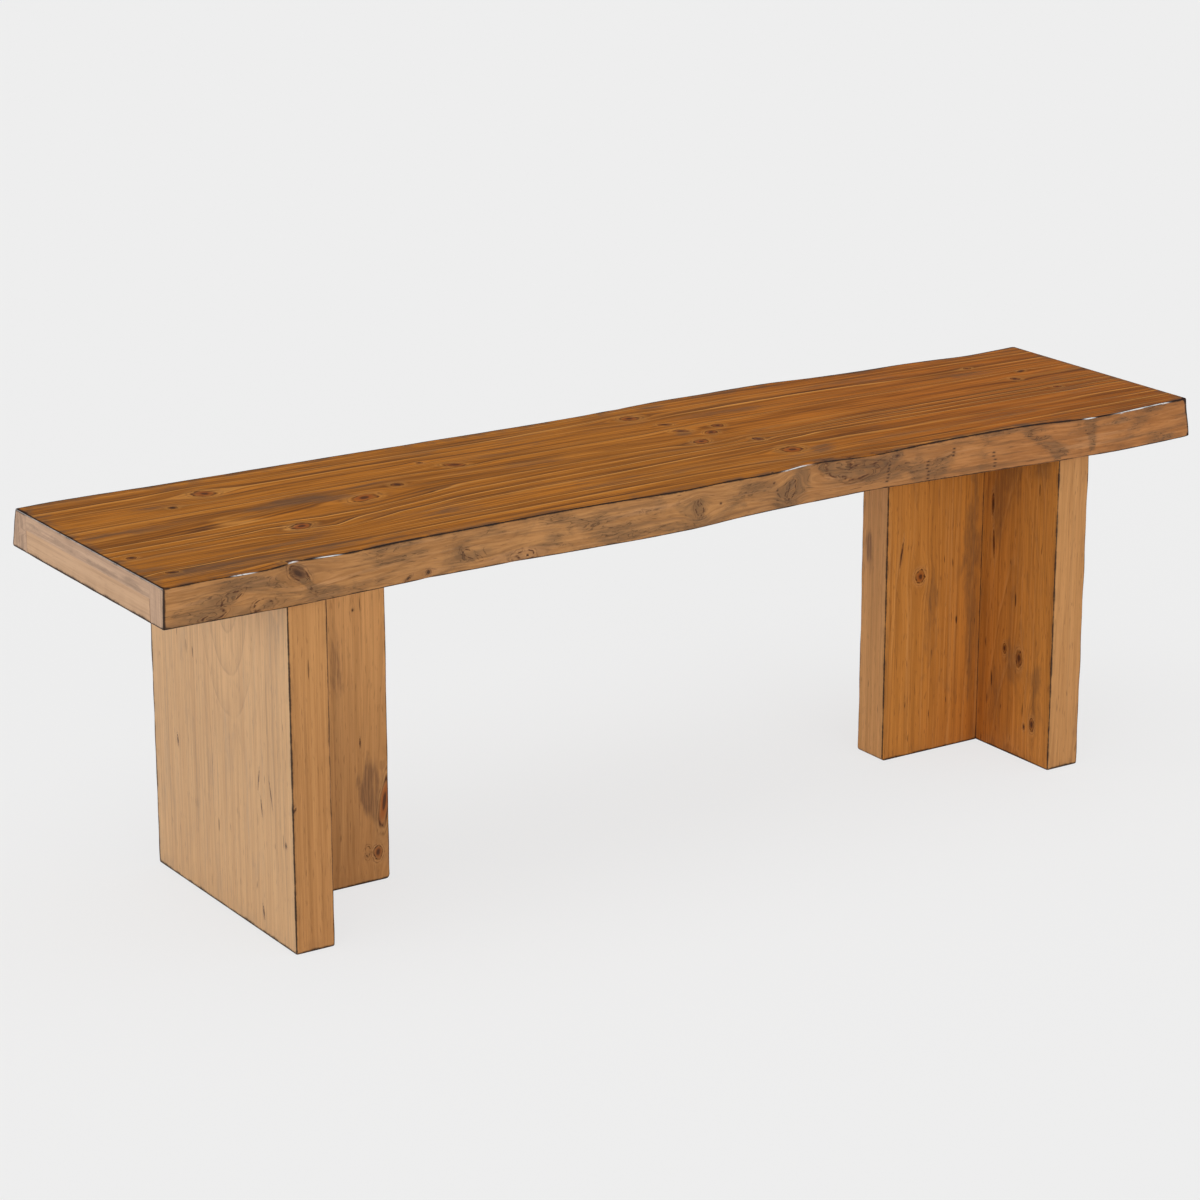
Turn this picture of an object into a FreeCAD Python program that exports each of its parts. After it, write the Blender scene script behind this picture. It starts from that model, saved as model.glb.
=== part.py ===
import FreeCAD, Part
import os
import Sketcher
from FreeCAD import Placement, Rotation, Vector

# A rustic log bench: a live-edge pine seat on two T-shaped pine legs.
# Millimetres. X runs along the seat, -Y is the front and +Z is up.
# The origin lies on the floor under the middle of the seat.

doc = FreeCAD.newDocument("log_bench")
sheet = doc.addObject("Spreadsheet::Sheet", "sizes")

# Driving dimensions
SIZES = {
    # Seat slab: a board between two full-thickness live-edge strips
    "seat_length": 1420,
    "seat_height": 450,
    "slab_thickness": 46,
    "board_thickness": 19,
    "front_joint_left": 157,
    "front_joint_right": 137,
    "back_joint": 145,
    "front_strip_width": 44,
    "back_strip_width": 45,
    "right_corner_radius": 6,
    # Rails under the board
    "end_cleat_width": 60,
    "batten_width": 60,
    "rail_gap": 0.2,
    # T-shaped legs
    "end_overhang": 155,
    "crossbar_thickness": 48,
    "crossbar_width": 331,
    "web_thickness": 51,
    "web_length": 151,
    "arris_radius": 2,
    "cleat_outer_lip": 40,
    "cleat_inner_lip": 12,
    # Glued dowels: the bite is in the strip, the grip in the board or web
    "leg_dowel_diameter": 12,
    "leg_dowel_cover": 20,
    "leg_dowel_grip": 42,
    "leg_dowel_low": 70,
    "leg_dowel_drop": 24,
    "edge_dowel_diameter": 8,
    "edge_dowel_bite": 11,
    "edge_dowel_grip": 23,
    "edge_dowel_inset": 110,
    "dowel_chamfer": 1,
    # Countersunk wood screws
    "leg_screw_diameter": 6,
    "leg_screw_head": 12,
    "leg_screw_length": 80,
    "crossbar_screw_inset": 35,
    "web_screw_inset": 35,
    "rail_screw_diameter": 4.5,
    "rail_screw_head": 9,
    "rail_screw_cover": 7,
    "rail_screw_inset": 50,
    # Bolts, washers and threaded inserts that hold the legs to the seat
    "bolt_diameter": 8,
    "bolt_head_diameter": 14,
    "bolt_head_height": 5,
    "bolt_socket_diameter": 6,
    "bolt_tip_gap": 2,
    "bolt_spread": 200,
    "washer_diameter": 22,
    "washer_thickness": 2,
    "insert_diameter": 12,
    "insert_cover": 6,
    # Clearances
    "fit_clearance": 0.1,
    "bolt_clearance": 0.5,
    "cut_overrun": 5,
}
for row, (alias, number) in enumerate(SIZES.items(), start=1):
    sheet.set("A%d" % row, alias.replace("_", " "))
    sheet.set("B%d" % row, str(number))
    sheet.setAlias("B%d" % row, alias)
doc.recompute()

# How many of each fastener a joint has
LEG_DOWEL_COUNT = 3
EDGE_DOWEL_COUNT = 6
CROSSBAR_SCREW_COUNT = 4
WEB_SCREW_COUNT = 2
RAIL_SCREW_COUNT = 4
BOLT_ROW_COUNT = 2

# Outlines of the live edges. Each row holds shares: how far along half the seat's length, and how
# much of the strip's full width is left there at the top and at the bottom of the slab.
FRONT_EDGE_SHARES = [
    (-1.0, 0.75, 0.675), (-0.9, 0.73, 0.70), (-0.81, 0.69, 0.73), (-0.778, 0.55, 0.735),
    (-0.7, 0.59, 0.69), (-0.62, 0.52, 0.63), (-0.5, 0.47, 0.565), (-0.38, 0.445, 0.60),
    (-0.27, 0.435, 0.68), (-0.16, 0.53, 0.75), (-0.06, 0.595, 0.73), (0.03, 0.53, 0.58),
    (0.1, 0.56, 0.465), (0.205, 0.375, 0.43), (0.29, 0.57, 0.37), (0.39, 0.49, 0.47),
    (0.48, 0.425, 0.59), (0.6, 0.46, 0.76), (0.675, 0.55, 0.895), (0.74, 0.75, 0.965),
    (0.83, 0.825, 1.0), (0.91, 0.72, 0.975), (1.0, 0.69, 0.885),
]
BACK_EDGE_SHARES = [
    (-1.0, 0.605, 0.875), (-0.94, 0.68, 0.89), (-0.8, 0.645, 0.90), (-0.6, 0.63, 0.84),
    (-0.3, 0.62, 0.835), (0.0, 0.60, 0.86), (0.08, 0.66, 0.90), (0.2, 0.82, 0.95),
    (0.3, 0.84, 0.985), (0.38, 0.865, 1.0), (0.45, 0.84, 0.97), (0.52, 0.72, 0.92),
    (0.6, 0.61, 0.87), (0.7, 0.57, 0.82), (0.8, 0.50, 0.75), (0.87, 0.375, 0.70),
    (0.93, 0.41, 0.70), (1.0, 0.505, 0.74),
]

# Levels and faces that several pieces share
SLAB_BOTTOM = "(sizes.seat_height - sizes.slab_thickness)"
BOARD_BOTTOM = "(sizes.seat_height - sizes.board_thickness)"
RAIL_THICKNESS = "(sizes.slab_thickness - sizes.board_thickness)"
LEG_FACE = "(sizes.seat_length / 2 - sizes.end_overhang)"
LEG_JOINT = "(%s - sizes.crossbar_thickness)" % LEG_FACE
FRONT_TAPER = "((sizes.front_joint_left - sizes.front_joint_right) / sizes.seat_length)"


def front_joint(x):
    """Y of the front strip's glue line, which tapers towards the right, at one x."""
    middle = "(sizes.front_joint_left + sizes.front_joint_right) / 2"
    return "(%s * (%s) - %s)" % (FRONT_TAPER, x, middle)


def between_joints(x, inset):
    """Where a row across the seat starts and how far it spans, inset from both glue lines."""
    start = "(%s + %s)" % (front_joint(x), inset)
    return start, "(sizes.back_joint - %s - %s)" % (inset, start)


# Making and placing a piece
def origin_feature(body, role):
    return next(item for item in body.Origin.OriginFeatures if item.Role == role)


def closed_sketch(body, name, role, corners):
    """A closed polygon whose corners are pairs of expressions measured from the origin."""
    sketch = body.newObject("Sketcher::SketchObject", name)
    sketch.AttachmentSupport = [(origin_feature(body, role), "")]
    sketch.MapMode = "FlatFace"
    spots = [Vector(*[float(sketch.evalExpression(part)) for part in corner]) for corner in corners]
    for number, spot in enumerate(spots):
        following = (number + 1) % len(spots)
        sketch.addGeometry(Part.LineSegment(spot, spots[following]), False)
    for number in range(len(spots)):
        following = (number + 1) % len(spots)
        sketch.addConstraint(Sketcher.Constraint("Coincident", number, 2, following, 1))
    for number, corner in enumerate(corners):
        for kind, value, part in zip(("DistanceX", "DistanceY"), spots[number], corner):
            held = sketch.addConstraint(Sketcher.Constraint(kind, -1, 1, number, 1, value))
            sketch.setExpression("Constraints[%d]" % held, part)
    return sketch


def place(piece, base, rotation=Rotation()):
    """Turn a piece, then bind its place to three expressions."""
    piece.Placement = Placement(Vector(), rotation)
    for axis, expression in zip("xyz", base):
        piece.setExpression("Placement.Base.%s" % axis, expression)


def sawn_board(name, corners, thickness, base, rotation=Rotation()):
    """A board or post padded upwards from its plan."""
    body = doc.addObject("PartDesign::Body", name)
    plan = closed_sketch(body, name + "_plan", "XY_Plane", corners)
    pad = body.newObject("PartDesign::Pad", name + "_pad")
    pad.Profile = plan
    pad.setExpression("Length", thickness)
    place(body, base, rotation)
    return body


def rectangle(low_x, high_x, low_y, high_y):
    return [(low_x, low_y), (high_x, low_y), (high_x, high_y), (low_x, high_y)]


def ease_arrises(body, chosen):
    """Round the arrises for which chosen, given an edge's box, is true."""
    doc.recompute()
    pad = body.Tip
    eased = [
        "Edge%d" % number
        for number, edge in enumerate(pad.Shape.Edges, start=1)
        if chosen(edge.BoundBox)
    ]
    fillet = body.newObject("PartDesign::Fillet", body.Name + "_arrises")
    fillet.Base = (pad, eased)
    fillet.setExpression("Radius", "sizes.arris_radius")


def turned_row(name, lie, profile, base, rows, rotation=Rotation()):
    """Identical turned pieces in a row, or in rows both ways.

    lie gives the sketch plane and the sketch axis that the profile turns about, profile the pairs
    of radius and distance along that axis, and rows a direction, a span and a count for each row.
    """
    plane, axis = lie
    corners = profile
    if axis == "H_Axis":
        corners = [(along, radius) for radius, along in profile]
    body = doc.addObject("PartDesign::Body", name)
    outline = closed_sketch(body, name + "_outline", plane, corners)
    turning = body.newObject("PartDesign::Revolution", name + "_turning")
    turning.Profile = outline
    turning.ReferenceAxis = (outline, [axis])
    turning.Angle = 360
    for direction, span, count in rows:
        doc.recompute()
        pattern = body.newObject("PartDesign::LinearPattern", name + "_row_" + direction)
        pattern.TransformMode = "Whole shape"
        pattern.Direction = (origin_feature(body, direction), [""])
        pattern.setExpression("Length", span)
        pattern.Occurrences = count
        body.Tip = pattern
    place(body, base, rotation)
    return body


def cut(name, blank, holes):
    """The finished piece: its blank less the holes."""
    tool = doc.addObject("Part::Compound", name + "_holes")
    tool.Links = holes
    piece = doc.addObject("Part::Cut", name)
    piece.Base = blank
    piece.Tool = tool
    return piece


# Lies of a turned piece's axis: upright, along x and along y
UPRIGHT = ("XZ_Plane", "V_Axis")
ALONG_X = ("XY_Plane", "H_Axis")
ALONG_Y = ("XY_Plane", "V_Axis")


def dowel_profile(kind, low, high, clearance="0"):
    """Half of a chamfered dowel that runs from low to high."""
    radius = "sizes.%s_dowel_diameter / 2 + %s" % (kind, clearance)
    ends = "(%s) - %s" % (low, clearance), "(%s) + %s" % (high, clearance)
    return [
        ("0", ends[0]),
        (radius + " - sizes.dowel_chamfer", ends[0]),
        (radius, ends[0] + " + sizes.dowel_chamfer"),
        (radius, ends[1] + " - sizes.dowel_chamfer"),
        (radius + " - sizes.dowel_chamfer", ends[1]),
        ("0", ends[1]),
    ]


def screw_profile(kind, way, length):
    """Half of a countersunk screw with its head face at zero; way is 1 for up, -1 for down."""
    shank = "sizes.%s_screw_diameter / 2" % kind
    sunk = "(sizes.%s_screw_head - sizes.%s_screw_diameter) / 2" % (kind, kind)
    return [
        ("0", "0"),
        ("sizes.%s_screw_head / 2" % kind, "0"),
        (shank, "%d * (%s)" % (way, sunk)),
        (shank, "%d * (%s - sizes.%s_screw_diameter)" % (way, length, kind)),
        ("0", "%d * (%s)" % (way, length)),
    ]


def screw_hole_profile(kind, way, length):
    """The screw's profile grown by the clearance all round and run out past the head face."""
    head = "sizes.%s_screw_head / 2 + sizes.fit_clearance" % kind
    mouth = "%d * sizes.cut_overrun" % -way
    screw = screw_profile(kind, way, length)
    grown = [
        (radius + " + sizes.fit_clearance", along + " + %d * sizes.fit_clearance" % way)
        for radius, along in screw[1:-1]
    ]
    tip = ("0", screw[-1][1] + " + %d * sizes.fit_clearance" % way)
    return [("0", mouth), (head, mouth)] + grown + [tip]


def rod_profile(radius, low, high):
    return [("0", low), (radius, low), (radius, high), ("0", high)]


def ring_profile(inner, outer, low, high):
    return [(inner, low), (outer, low), (outer, high), (inner, high)]


# Rails under the board: they lie between the strips and follow the tapered glue line
def rail(name, low_x, high_x):
    plan = [
        (low_x, front_joint(low_x) + " + sizes.rail_gap"),
        (high_x, front_joint(high_x) + " + sizes.rail_gap"),
        (high_x, "sizes.back_joint - sizes.rail_gap"),
        (low_x, "sizes.back_joint - sizes.rail_gap"),
    ]
    return sawn_board(name, plan, RAIL_THICKNESS, ("0", "0", SLAB_BOTTOM))


pieces = []
board_holes = []
rail_screw_length = "(sizes.slab_thickness - sizes.rail_screw_cover)"
RAILS = [
    ("left_end_cleat", "-sizes.seat_length / 2", "-sizes.seat_length / 2 + sizes.end_cleat_width"),
    ("middle_batten", "-sizes.batten_width / 2", "sizes.batten_width / 2"),
    ("right_end_cleat", "sizes.seat_length / 2 - sizes.end_cleat_width", "sizes.seat_length / 2"),
]
for name, low_x, high_x in RAILS:
    middle_x = "(%s + %s) / 2" % (low_x, high_x)
    first_y, span = between_joints(middle_x, "sizes.rail_screw_inset")
    base = (middle_x, first_y, SLAB_BOTTOM)
    rows = [("Y_Axis", span, RAIL_SCREW_COUNT)]
    screws = turned_row(
        name + "_screws", UPRIGHT, screw_profile("rail", 1, rail_screw_length), base, rows)
    screw_holes = turned_row(
        name + "_screw_holes", UPRIGHT, screw_hole_profile("rail", 1, rail_screw_length), base, rows)
    board_holes.append(screw_holes)
    pieces += [cut(name, rail(name + "_blank", low_x, high_x), [screw_holes]), screws]


# Legs. Each is a T: a crossbar under the width of the seat and a web that runs inwards from it.
# A leg's own x is zero at the glue line of web and crossbar, and grows towards the seat's end.
leg_dowel_bite = "(sizes.crossbar_thickness - sizes.leg_dowel_cover)"
leg_screw_tip = "(%s - sizes.leg_screw_length)" % BOARD_BOTTOM
bolt_seat = "(%s - sizes.washer_thickness)" % SLAB_BOTTOM
bolt_radius = "sizes.bolt_diameter / 2"
insert_length = "(sizes.board_thickness - sizes.insert_cover)"
bolt_length = "(sizes.washer_thickness + %s + %s - sizes.bolt_tip_gap)" % (RAIL_THICKNESS, insert_length)
bolt_head_bottom = "-sizes.bolt_head_height"
bolt_profile = [
    ("0", bolt_head_bottom + " / 2"),
    ("sizes.bolt_socket_diameter / 2", bolt_head_bottom + " / 2"),
    ("sizes.bolt_socket_diameter / 2", bolt_head_bottom),
    ("sizes.bolt_head_diameter / 2", bolt_head_bottom),
    ("sizes.bolt_head_diameter / 2", "0"),
    (bolt_radius, "0"),
    (bolt_radius, bolt_length),
    ("0", bolt_length),
]
washer_profile = ring_profile(
    bolt_radius + " + sizes.bolt_clearance", "sizes.washer_diameter / 2", "0", "sizes.washer_thickness")
insert_profile = ring_profile(
    bolt_radius + " + sizes.fit_clearance", "sizes.insert_diameter / 2", "0", insert_length)
bolt_hole_profile = rod_profile(
    bolt_radius + " + sizes.bolt_clearance", "-sizes.cut_overrun", RAIL_THICKNESS + " + sizes.cut_overrun")
insert_hole_profile = rod_profile(
    "sizes.insert_diameter / 2 + sizes.fit_clearance", "-sizes.cut_overrun",
    insert_length + " + sizes.fit_clearance")


def make_leg(side, sign, turned):

    def at(x, y, z):
        """A place in the leg's own frame, given in the bench's."""
        return ("%d * (%s + %s)" % (sign, LEG_JOINT, x), "%d * (%s)" % (sign, y), z)

    def row_of(name, lie, profile, base, rows):
        return turned_row("%s_%s" % (side, name), lie, profile, at(*base), rows, turned)

    # Crossbar and web, both with their grain upright
    crossbar = sawn_board(
        side + "_crossbar_blank",
        rectangle("0", "sizes.crossbar_thickness", "-sizes.crossbar_width / 2", "sizes.crossbar_width / 2"),
        SLAB_BOTTOM, at("0", "0", "0"), turned)
    web = sawn_board(
        side + "_web_blank",
        rectangle("-sizes.web_length", "0", "-sizes.web_thickness / 2", "sizes.web_thickness / 2"),
        SLAB_BOTTOM, at("0", "0", "0"), turned)
    doc.recompute()
    top = crossbar.Shape.BoundBox.ZMax
    glued = web.Tip.Shape.BoundBox.XMax
    ease_arrises(crossbar, lambda box: box.ZMin < top)
    ease_arrises(web, lambda box: box.ZMin < top and box.XMin < glued)

    # Dowels across the glue line, kept below the tips of the screws from above
    dowel_base = ("0", "0", "sizes.leg_dowel_low")
    dowel_span = "%s - sizes.leg_dowel_drop - sizes.leg_dowel_low" % leg_screw_tip
    dowel_rows = [("Z_Axis", dowel_span, LEG_DOWEL_COUNT)]
    dowel_ends = ("-sizes.leg_dowel_grip", leg_dowel_bite)
    dowels = row_of("leg_dowels", ALONG_X, dowel_profile("leg", *dowel_ends), dowel_base, dowel_rows)
    dowel_holes = row_of(
        "leg_dowel_holes", ALONG_X, dowel_profile("leg", *dowel_ends, "sizes.fit_clearance"),
        dowel_base, dowel_rows)

    # Screws down through the leg cleat into the end grain of both boards
    screw = screw_profile("leg", -1, "sizes.leg_screw_length")
    screw_hole = screw_hole_profile("leg", -1, "sizes.leg_screw_length")
    bar_x = "%d * (%s + sizes.crossbar_thickness / 2)" % (sign, LEG_JOINT)
    first_y, span = between_joints(bar_x, "sizes.crossbar_screw_inset")
    bar_base = (bar_x, first_y, BOARD_BOTTOM)
    bar_rows = [("Y_Axis", span, CROSSBAR_SCREW_COUNT)]
    bar_screws = turned_row(side + "_crossbar_screws", UPRIGHT, screw, bar_base, bar_rows)
    bar_holes = turned_row(side + "_crossbar_screw_holes", UPRIGHT, screw_hole, bar_base, bar_rows)
    web_base = ("sizes.web_screw_inset - sizes.web_length", "0", BOARD_BOTTOM)
    web_rows = [("X_Axis", "sizes.web_length - 2 * sizes.web_screw_inset", WEB_SCREW_COUNT)]
    web_screws = row_of("web_screws", UPRIGHT, screw, web_base, web_rows)
    web_holes = row_of("web_screw_holes", UPRIGHT, screw_hole, web_base, web_rows)

    # Bolts up through the cleat's corners into threaded inserts in the seat board
    bolt_x = "-sizes.web_length / 2"
    bolt_y = "-sizes.bolt_spread / 2"
    bolt_rows = [
        ("X_Axis", "sizes.web_length / 2 + sizes.crossbar_thickness + sizes.cleat_outer_lip / 2",
         BOLT_ROW_COUNT),
        ("Y_Axis", "sizes.bolt_spread", BOLT_ROW_COUNT),
    ]
    bolts = row_of("seat_bolts", UPRIGHT, bolt_profile, (bolt_x, bolt_y, bolt_seat), bolt_rows)
    washers = row_of("bolt_washers", UPRIGHT, washer_profile, (bolt_x, bolt_y, bolt_seat), bolt_rows)
    inserts = row_of("threaded_inserts", UPRIGHT, insert_profile, (bolt_x, bolt_y, BOARD_BOTTOM), bolt_rows)
    bolt_holes = row_of(
        "bolt_holes", UPRIGHT, bolt_hole_profile, (bolt_x, bolt_y, SLAB_BOTTOM), bolt_rows)
    insert_holes = row_of(
        "insert_holes", UPRIGHT, insert_hole_profile, (bolt_x, bolt_y, BOARD_BOTTOM), bolt_rows)
    board_holes.append(insert_holes)

    # The mounting cleat on top of the leg fills the hollow under the board there
    cleat_outer = "%d * (%s + sizes.cleat_outer_lip)" % (sign, LEG_FACE)
    cleat_inner = "%d * (%s - sizes.web_length - sizes.cleat_inner_lip)" % (sign, LEG_JOINT)
    cleat_ends = (cleat_inner, cleat_outer)[::sign]
    cleat = rail(side + "_leg_cleat_blank", *cleat_ends)
    return [
        cut(side + "_leg_crossbar", crossbar, [dowel_holes, bar_holes]),
        cut(side + "_leg_web", web, [dowel_holes, web_holes]),
        cut(side + "_leg_cleat", cleat, [bar_holes, web_holes, bolt_holes]),
        dowels, bar_screws, web_screws, bolts, washers, inserts,
    ]


pieces += make_leg("left", -1, Rotation(Vector(0, 0, 1), 180))
pieces += make_leg("right", 1, Rotation())


# Live-edge strips: the natural outline differs between the top and the bottom of the slab
def outline(stations, widths, glue, way, height):
    """A closed wire: the wavy natural edge, then square back along the glue line."""
    edge = [
        Vector(x, y + way * width, height) for x, y, width in zip(stations, glue, widths)
    ]
    wave = Part.BSplineCurve()
    wave.interpolate(Points=edge, Parameters=stations)
    corners = [
        edge[-1], Vector(stations[-1], glue[-1], height), Vector(stations[0], glue[0], height), edge[0],
    ]
    sides = [Part.LineSegment(*ends).toShape() for ends in zip(corners, corners[1:])]
    return Part.Wire([wave.toShape()] + sides)


def live_edge(name, joint, way, full_width, shares):
    """way is -1 for the front and 1 for the back."""
    thickness = sheet.slab_thickness
    along_shares, top_shares, bottom_shares = zip(*shares)
    stations = [sheet.seat_length / 2 * share for share in along_shares]
    glue = [joint(x) for x in stations]
    solid = Part.makeLoft(
        [
            outline(stations, [full_width * share for share in bottom_shares], glue, way, 0),
            outline(stations, [full_width * share for share in top_shares], glue, way, thickness),
        ],
        True, True)
    # The strip's right-hand outer corner is worn round
    corner = [
        edge for edge in solid.Edges
        if all(
            end.X > stations[-2] and way * end.Y > way * glue[-1] + sheet.right_corner_radius
            for end in edge.Vertexes)
    ]
    strip = doc.addObject("Part::Feature", name)
    strip.Shape = solid.makeFillet(sheet.right_corner_radius, corner)
    place(strip, ("0", "0", SLAB_BOTTOM))
    return strip


def front_joint_at(x):
    return float(sheet.evalExpression(front_joint(str(x))))


def back_joint_at(x):
    return float(sheet.back_joint)


front_strip = live_edge(
    "front_live_edge_blank", front_joint_at, -1, sheet.front_strip_width, FRONT_EDGE_SHARES)
back_strip = live_edge(
    "back_live_edge_blank", back_joint_at, 1, sheet.back_strip_width, BACK_EDGE_SHARES)

# Dowels between the board and its strips, square to each glue line
first_x = "(sizes.edge_dowel_inset - sizes.seat_length / 2)"
edge_rows = [("X_Axis", "sizes.seat_length - 2 * sizes.edge_dowel_inset", EDGE_DOWEL_COUNT)]
edge_height = "sizes.seat_height - sizes.board_thickness / 2"
EDGES = [
    ("front", front_strip, front_joint(first_x), ("-sizes.edge_dowel_bite", "sizes.edge_dowel_grip")),
    ("back", back_strip, "sizes.back_joint", ("-sizes.edge_dowel_grip", "sizes.edge_dowel_bite")),
]
for edge, strip, glue_y, ends in EDGES:
    base = (first_x, glue_y, edge_height)
    dowels = turned_row(edge + "_edge_dowels", ALONG_Y, dowel_profile("edge", *ends), base, edge_rows)
    holes = turned_row(
        edge + "_edge_dowel_holes", ALONG_Y, dowel_profile("edge", *ends, "sizes.fit_clearance"),
        base, edge_rows)
    if edge == "front":
        for row in (dowels, holes):
            row.Placement.Rotation = Rotation(Vector(0, 0, 1), 1)
            row.setExpression("Placement.Rotation.Angle", "atan(%s)" % FRONT_TAPER)
    board_holes.append(holes)
    pieces += [cut(edge + "_live_edge", strip, [holes]), dowels]

# The seat board lies between the strips, flush with their tops
board_plan = [
    ("-sizes.seat_length / 2", "-sizes.front_joint_left"),
    ("sizes.seat_length / 2", "-sizes.front_joint_right"),
    ("sizes.seat_length / 2", "sizes.back_joint"),
    ("-sizes.seat_length / 2", "sizes.back_joint"),
]
board = sawn_board("seat_board_blank", board_plan, "sizes.board_thickness", ("0", "0", BOARD_BOTTOM))
pieces.append(cut("seat_board", board, board_holes))

# Check everything, then write one file for each piece
doc.recompute()
for item in doc.Objects:
    if {"Invalid", "Error"} & set(item.State):
        raise RuntimeError("%s failed: %s" % (item.Name, item.State))
for piece in pieces:
    if piece.Shape.isNull() or not piece.Shape.isValid() or not piece.Shape.Solids:
        raise RuntimeError(piece.Label + " has no valid solid")
os.makedirs("parts", exist_ok=True)
for piece in pieces:
    piece.Shape.exportStep("parts/%s.step" % piece.Label)
    print("%-26s %d solid(s) %10.0f mm3" % (piece.Label, len(piece.Shape.Solids), piece.Shape.Volume))
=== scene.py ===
import math

import bmesh
import bpy
import numpy as np
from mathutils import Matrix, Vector


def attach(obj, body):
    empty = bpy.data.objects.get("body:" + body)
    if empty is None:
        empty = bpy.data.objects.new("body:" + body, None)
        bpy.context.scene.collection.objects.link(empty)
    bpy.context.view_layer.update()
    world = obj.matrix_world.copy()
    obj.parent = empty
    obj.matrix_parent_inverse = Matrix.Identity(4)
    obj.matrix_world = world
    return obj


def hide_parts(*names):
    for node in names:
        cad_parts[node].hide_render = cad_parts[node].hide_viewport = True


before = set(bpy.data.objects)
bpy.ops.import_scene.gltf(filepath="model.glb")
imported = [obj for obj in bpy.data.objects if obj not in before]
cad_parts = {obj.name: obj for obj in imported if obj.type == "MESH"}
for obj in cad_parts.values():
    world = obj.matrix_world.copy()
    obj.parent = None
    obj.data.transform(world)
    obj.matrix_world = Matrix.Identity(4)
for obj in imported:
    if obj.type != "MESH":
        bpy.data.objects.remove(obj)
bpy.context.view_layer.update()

# A rustic bench of stained pine: a slab seat with two wavy natural edges on two T-shaped legs.
# Metres. X runs along the seat, -Y is the front and +Z is up. Tables give millimetres.
MM = 0.001


# SEAT BOARD
# A flat-sawn pine board, 19 mm thick, whose grain runs along the seat. It is stained orange
# brown, and a dark glaze stays in its knots, along its growth lines and on its worn arrises.

def read(items, field, width=1, kind=float):
    """One value, or a row of so many, from each vertex, corner or face of a mesh."""
    values = np.empty(len(items) * width, kind)
    items.foreach_get(field, values)
    return values.reshape(-1, width) if width > 1 else values


def cad_places(name):
    """The places of a CAD piece's points, in millimetres."""
    return np.round(read(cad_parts[name].data.vertices, "co", 3) / MM, 3)


def cad_corners(name):
    """The low and the high corner of the box round a CAD piece, in millimetres."""
    places = cad_places(name)
    return places.min(0), places.max(0)


board_low, board_high = cad_corners("seat_board")
strip_low, _ = cad_corners("front_live_edge")
SEAT_END, BACK_JOINT, SEAT_TOP = board_high * MM
BOARD_BOTTOM, SLAB_BOTTOM = board_low[2] * MM, strip_low[2] * MM
# The front glue line's distance from the middle of the seat, at its left and its right end
board_x, board_y, _ = cad_places("seat_board").T
FRONT_JOINT = [-board_y[board_x == end].min() * MM for end in (board_low[0], board_high[0])]
ARRIS = 1.6 * MM


def front_joint(x):
    """Y of the front glue line, which tapers from the left end of the seat to the right."""
    return -np.interp(x, (-SEAT_END, SEAT_END), FRONT_JOINT)


def spread(low, high, step):
    """Stations from low to high, about a step apart and closer together next to both ends."""
    near = np.array([0.8, 1.8, 3.2, 5.5]) * MM
    start, stop = low + 9 * MM, high - 9 * MM
    inner = np.linspace(start, stop, max(2, round((stop - start) / step) + 1))
    return np.concatenate([[low], low + near, inner, high - near[::-1], [high]])


def ripples(a, b, lengths, seed):
    """Smooth, irregular waves between about -1 and 1, three of each of the given lengths, over
    places given by one or two coordinates."""
    chance = np.random.default_rng(seed)
    total = 0
    for length in lengths:
        for _ in range(3):
            turn, phase = chance.uniform(0, 2 * np.pi, 2)
            place = a * np.cos(turn) + b * np.sin(turn)
            total = total + np.sin(2 * np.pi * place / length + phase)
    return 1.6 * total / (3 * len(lengths))


# How far in, in millimetres, the rows lie that close an end face, and where, as shares of the
# radius, the rows lie that round its arris
CLOSING = (17, 13, 9, 5, 2)
ROUNDING = (0, 0.06, 0.2, 0.45, 1)


def eased_ends(along, loops, anchor, reach, radii):
    """Round both ends of a row of sections and close in most of the end faces.

    Each end has a point that its sections shrink towards, how far the free sides are from that
    point, and the radii, in both directions across the row, that its arrises are eased by.
    """
    rows = []
    for end, inwards in ((0, 1), (-1, -1)):
        radius, full = np.array(radii[end], float), loops[end]
        steps = [(0, radius + inset * MM) for inset in CLOSING]
        for ahead in radius.max() * np.array(ROUNDING):
            left = np.maximum(radius - ahead, 0)
            steps.append((ahead, radius - np.sqrt(radius ** 2 - left ** 2)))
        point, free = np.array(anchor[end]), np.array(reach[end], float)
        rows.append([
            (along[end] + inwards * ahead, point + (full - point) * (1 - less / free))
            for ahead, less in steps])
    first, last = along[0] + max(radii[0]) * 1.2, along[-1] - max(radii[-1]) * 1.2
    between = (along > first) & (along < last)
    rows[1].reverse()
    sections = rows[0] + list(zip(along[between], loops[between])) + rows[1]
    return np.array([place for place, _ in sections]), np.array([loop for _, loop in sections])


def add_object(name, data):
    made = bpy.data.objects.new(name, data)
    bpy.context.scene.collection.objects.link(made)
    return made


def skin(name, along, loops, axis):
    """A closed piece through a row of sections; axis says which way the row runs."""
    across = [other for other in range(3) if other != axis]
    count, around = loops.shape[:2]
    points = np.empty((count, around, 3))
    points[..., axis] = along[:, None]
    points[..., across] = loops
    first = np.arange(count - 1)[:, None] * around + np.arange(around)
    second = np.arange(count - 1)[:, None] * around + (np.arange(around) + 1) % around
    quads = np.stack([first, second, second + around, first + around], -1).reshape(-1, 4)
    caps = [list(range(around))[::-1], list(range((count - 1) * around, count * around))]
    mesh = bpy.data.meshes.new(name)
    mesh.from_pydata(points.reshape(-1, 3).tolist(), [], quads.tolist() + caps)
    middle = points.mean((0, 1))
    outwards = sum(
        face.area * face.normal.dot(face.center - Vector(middle)) for face in mesh.polygons)
    if outwards < 0:
        mesh.flip_normals()
    mesh.shade_smooth()
    mesh.set_sharp_from_angle(angle=math.radians(50))
    return add_object(name, mesh)


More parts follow.
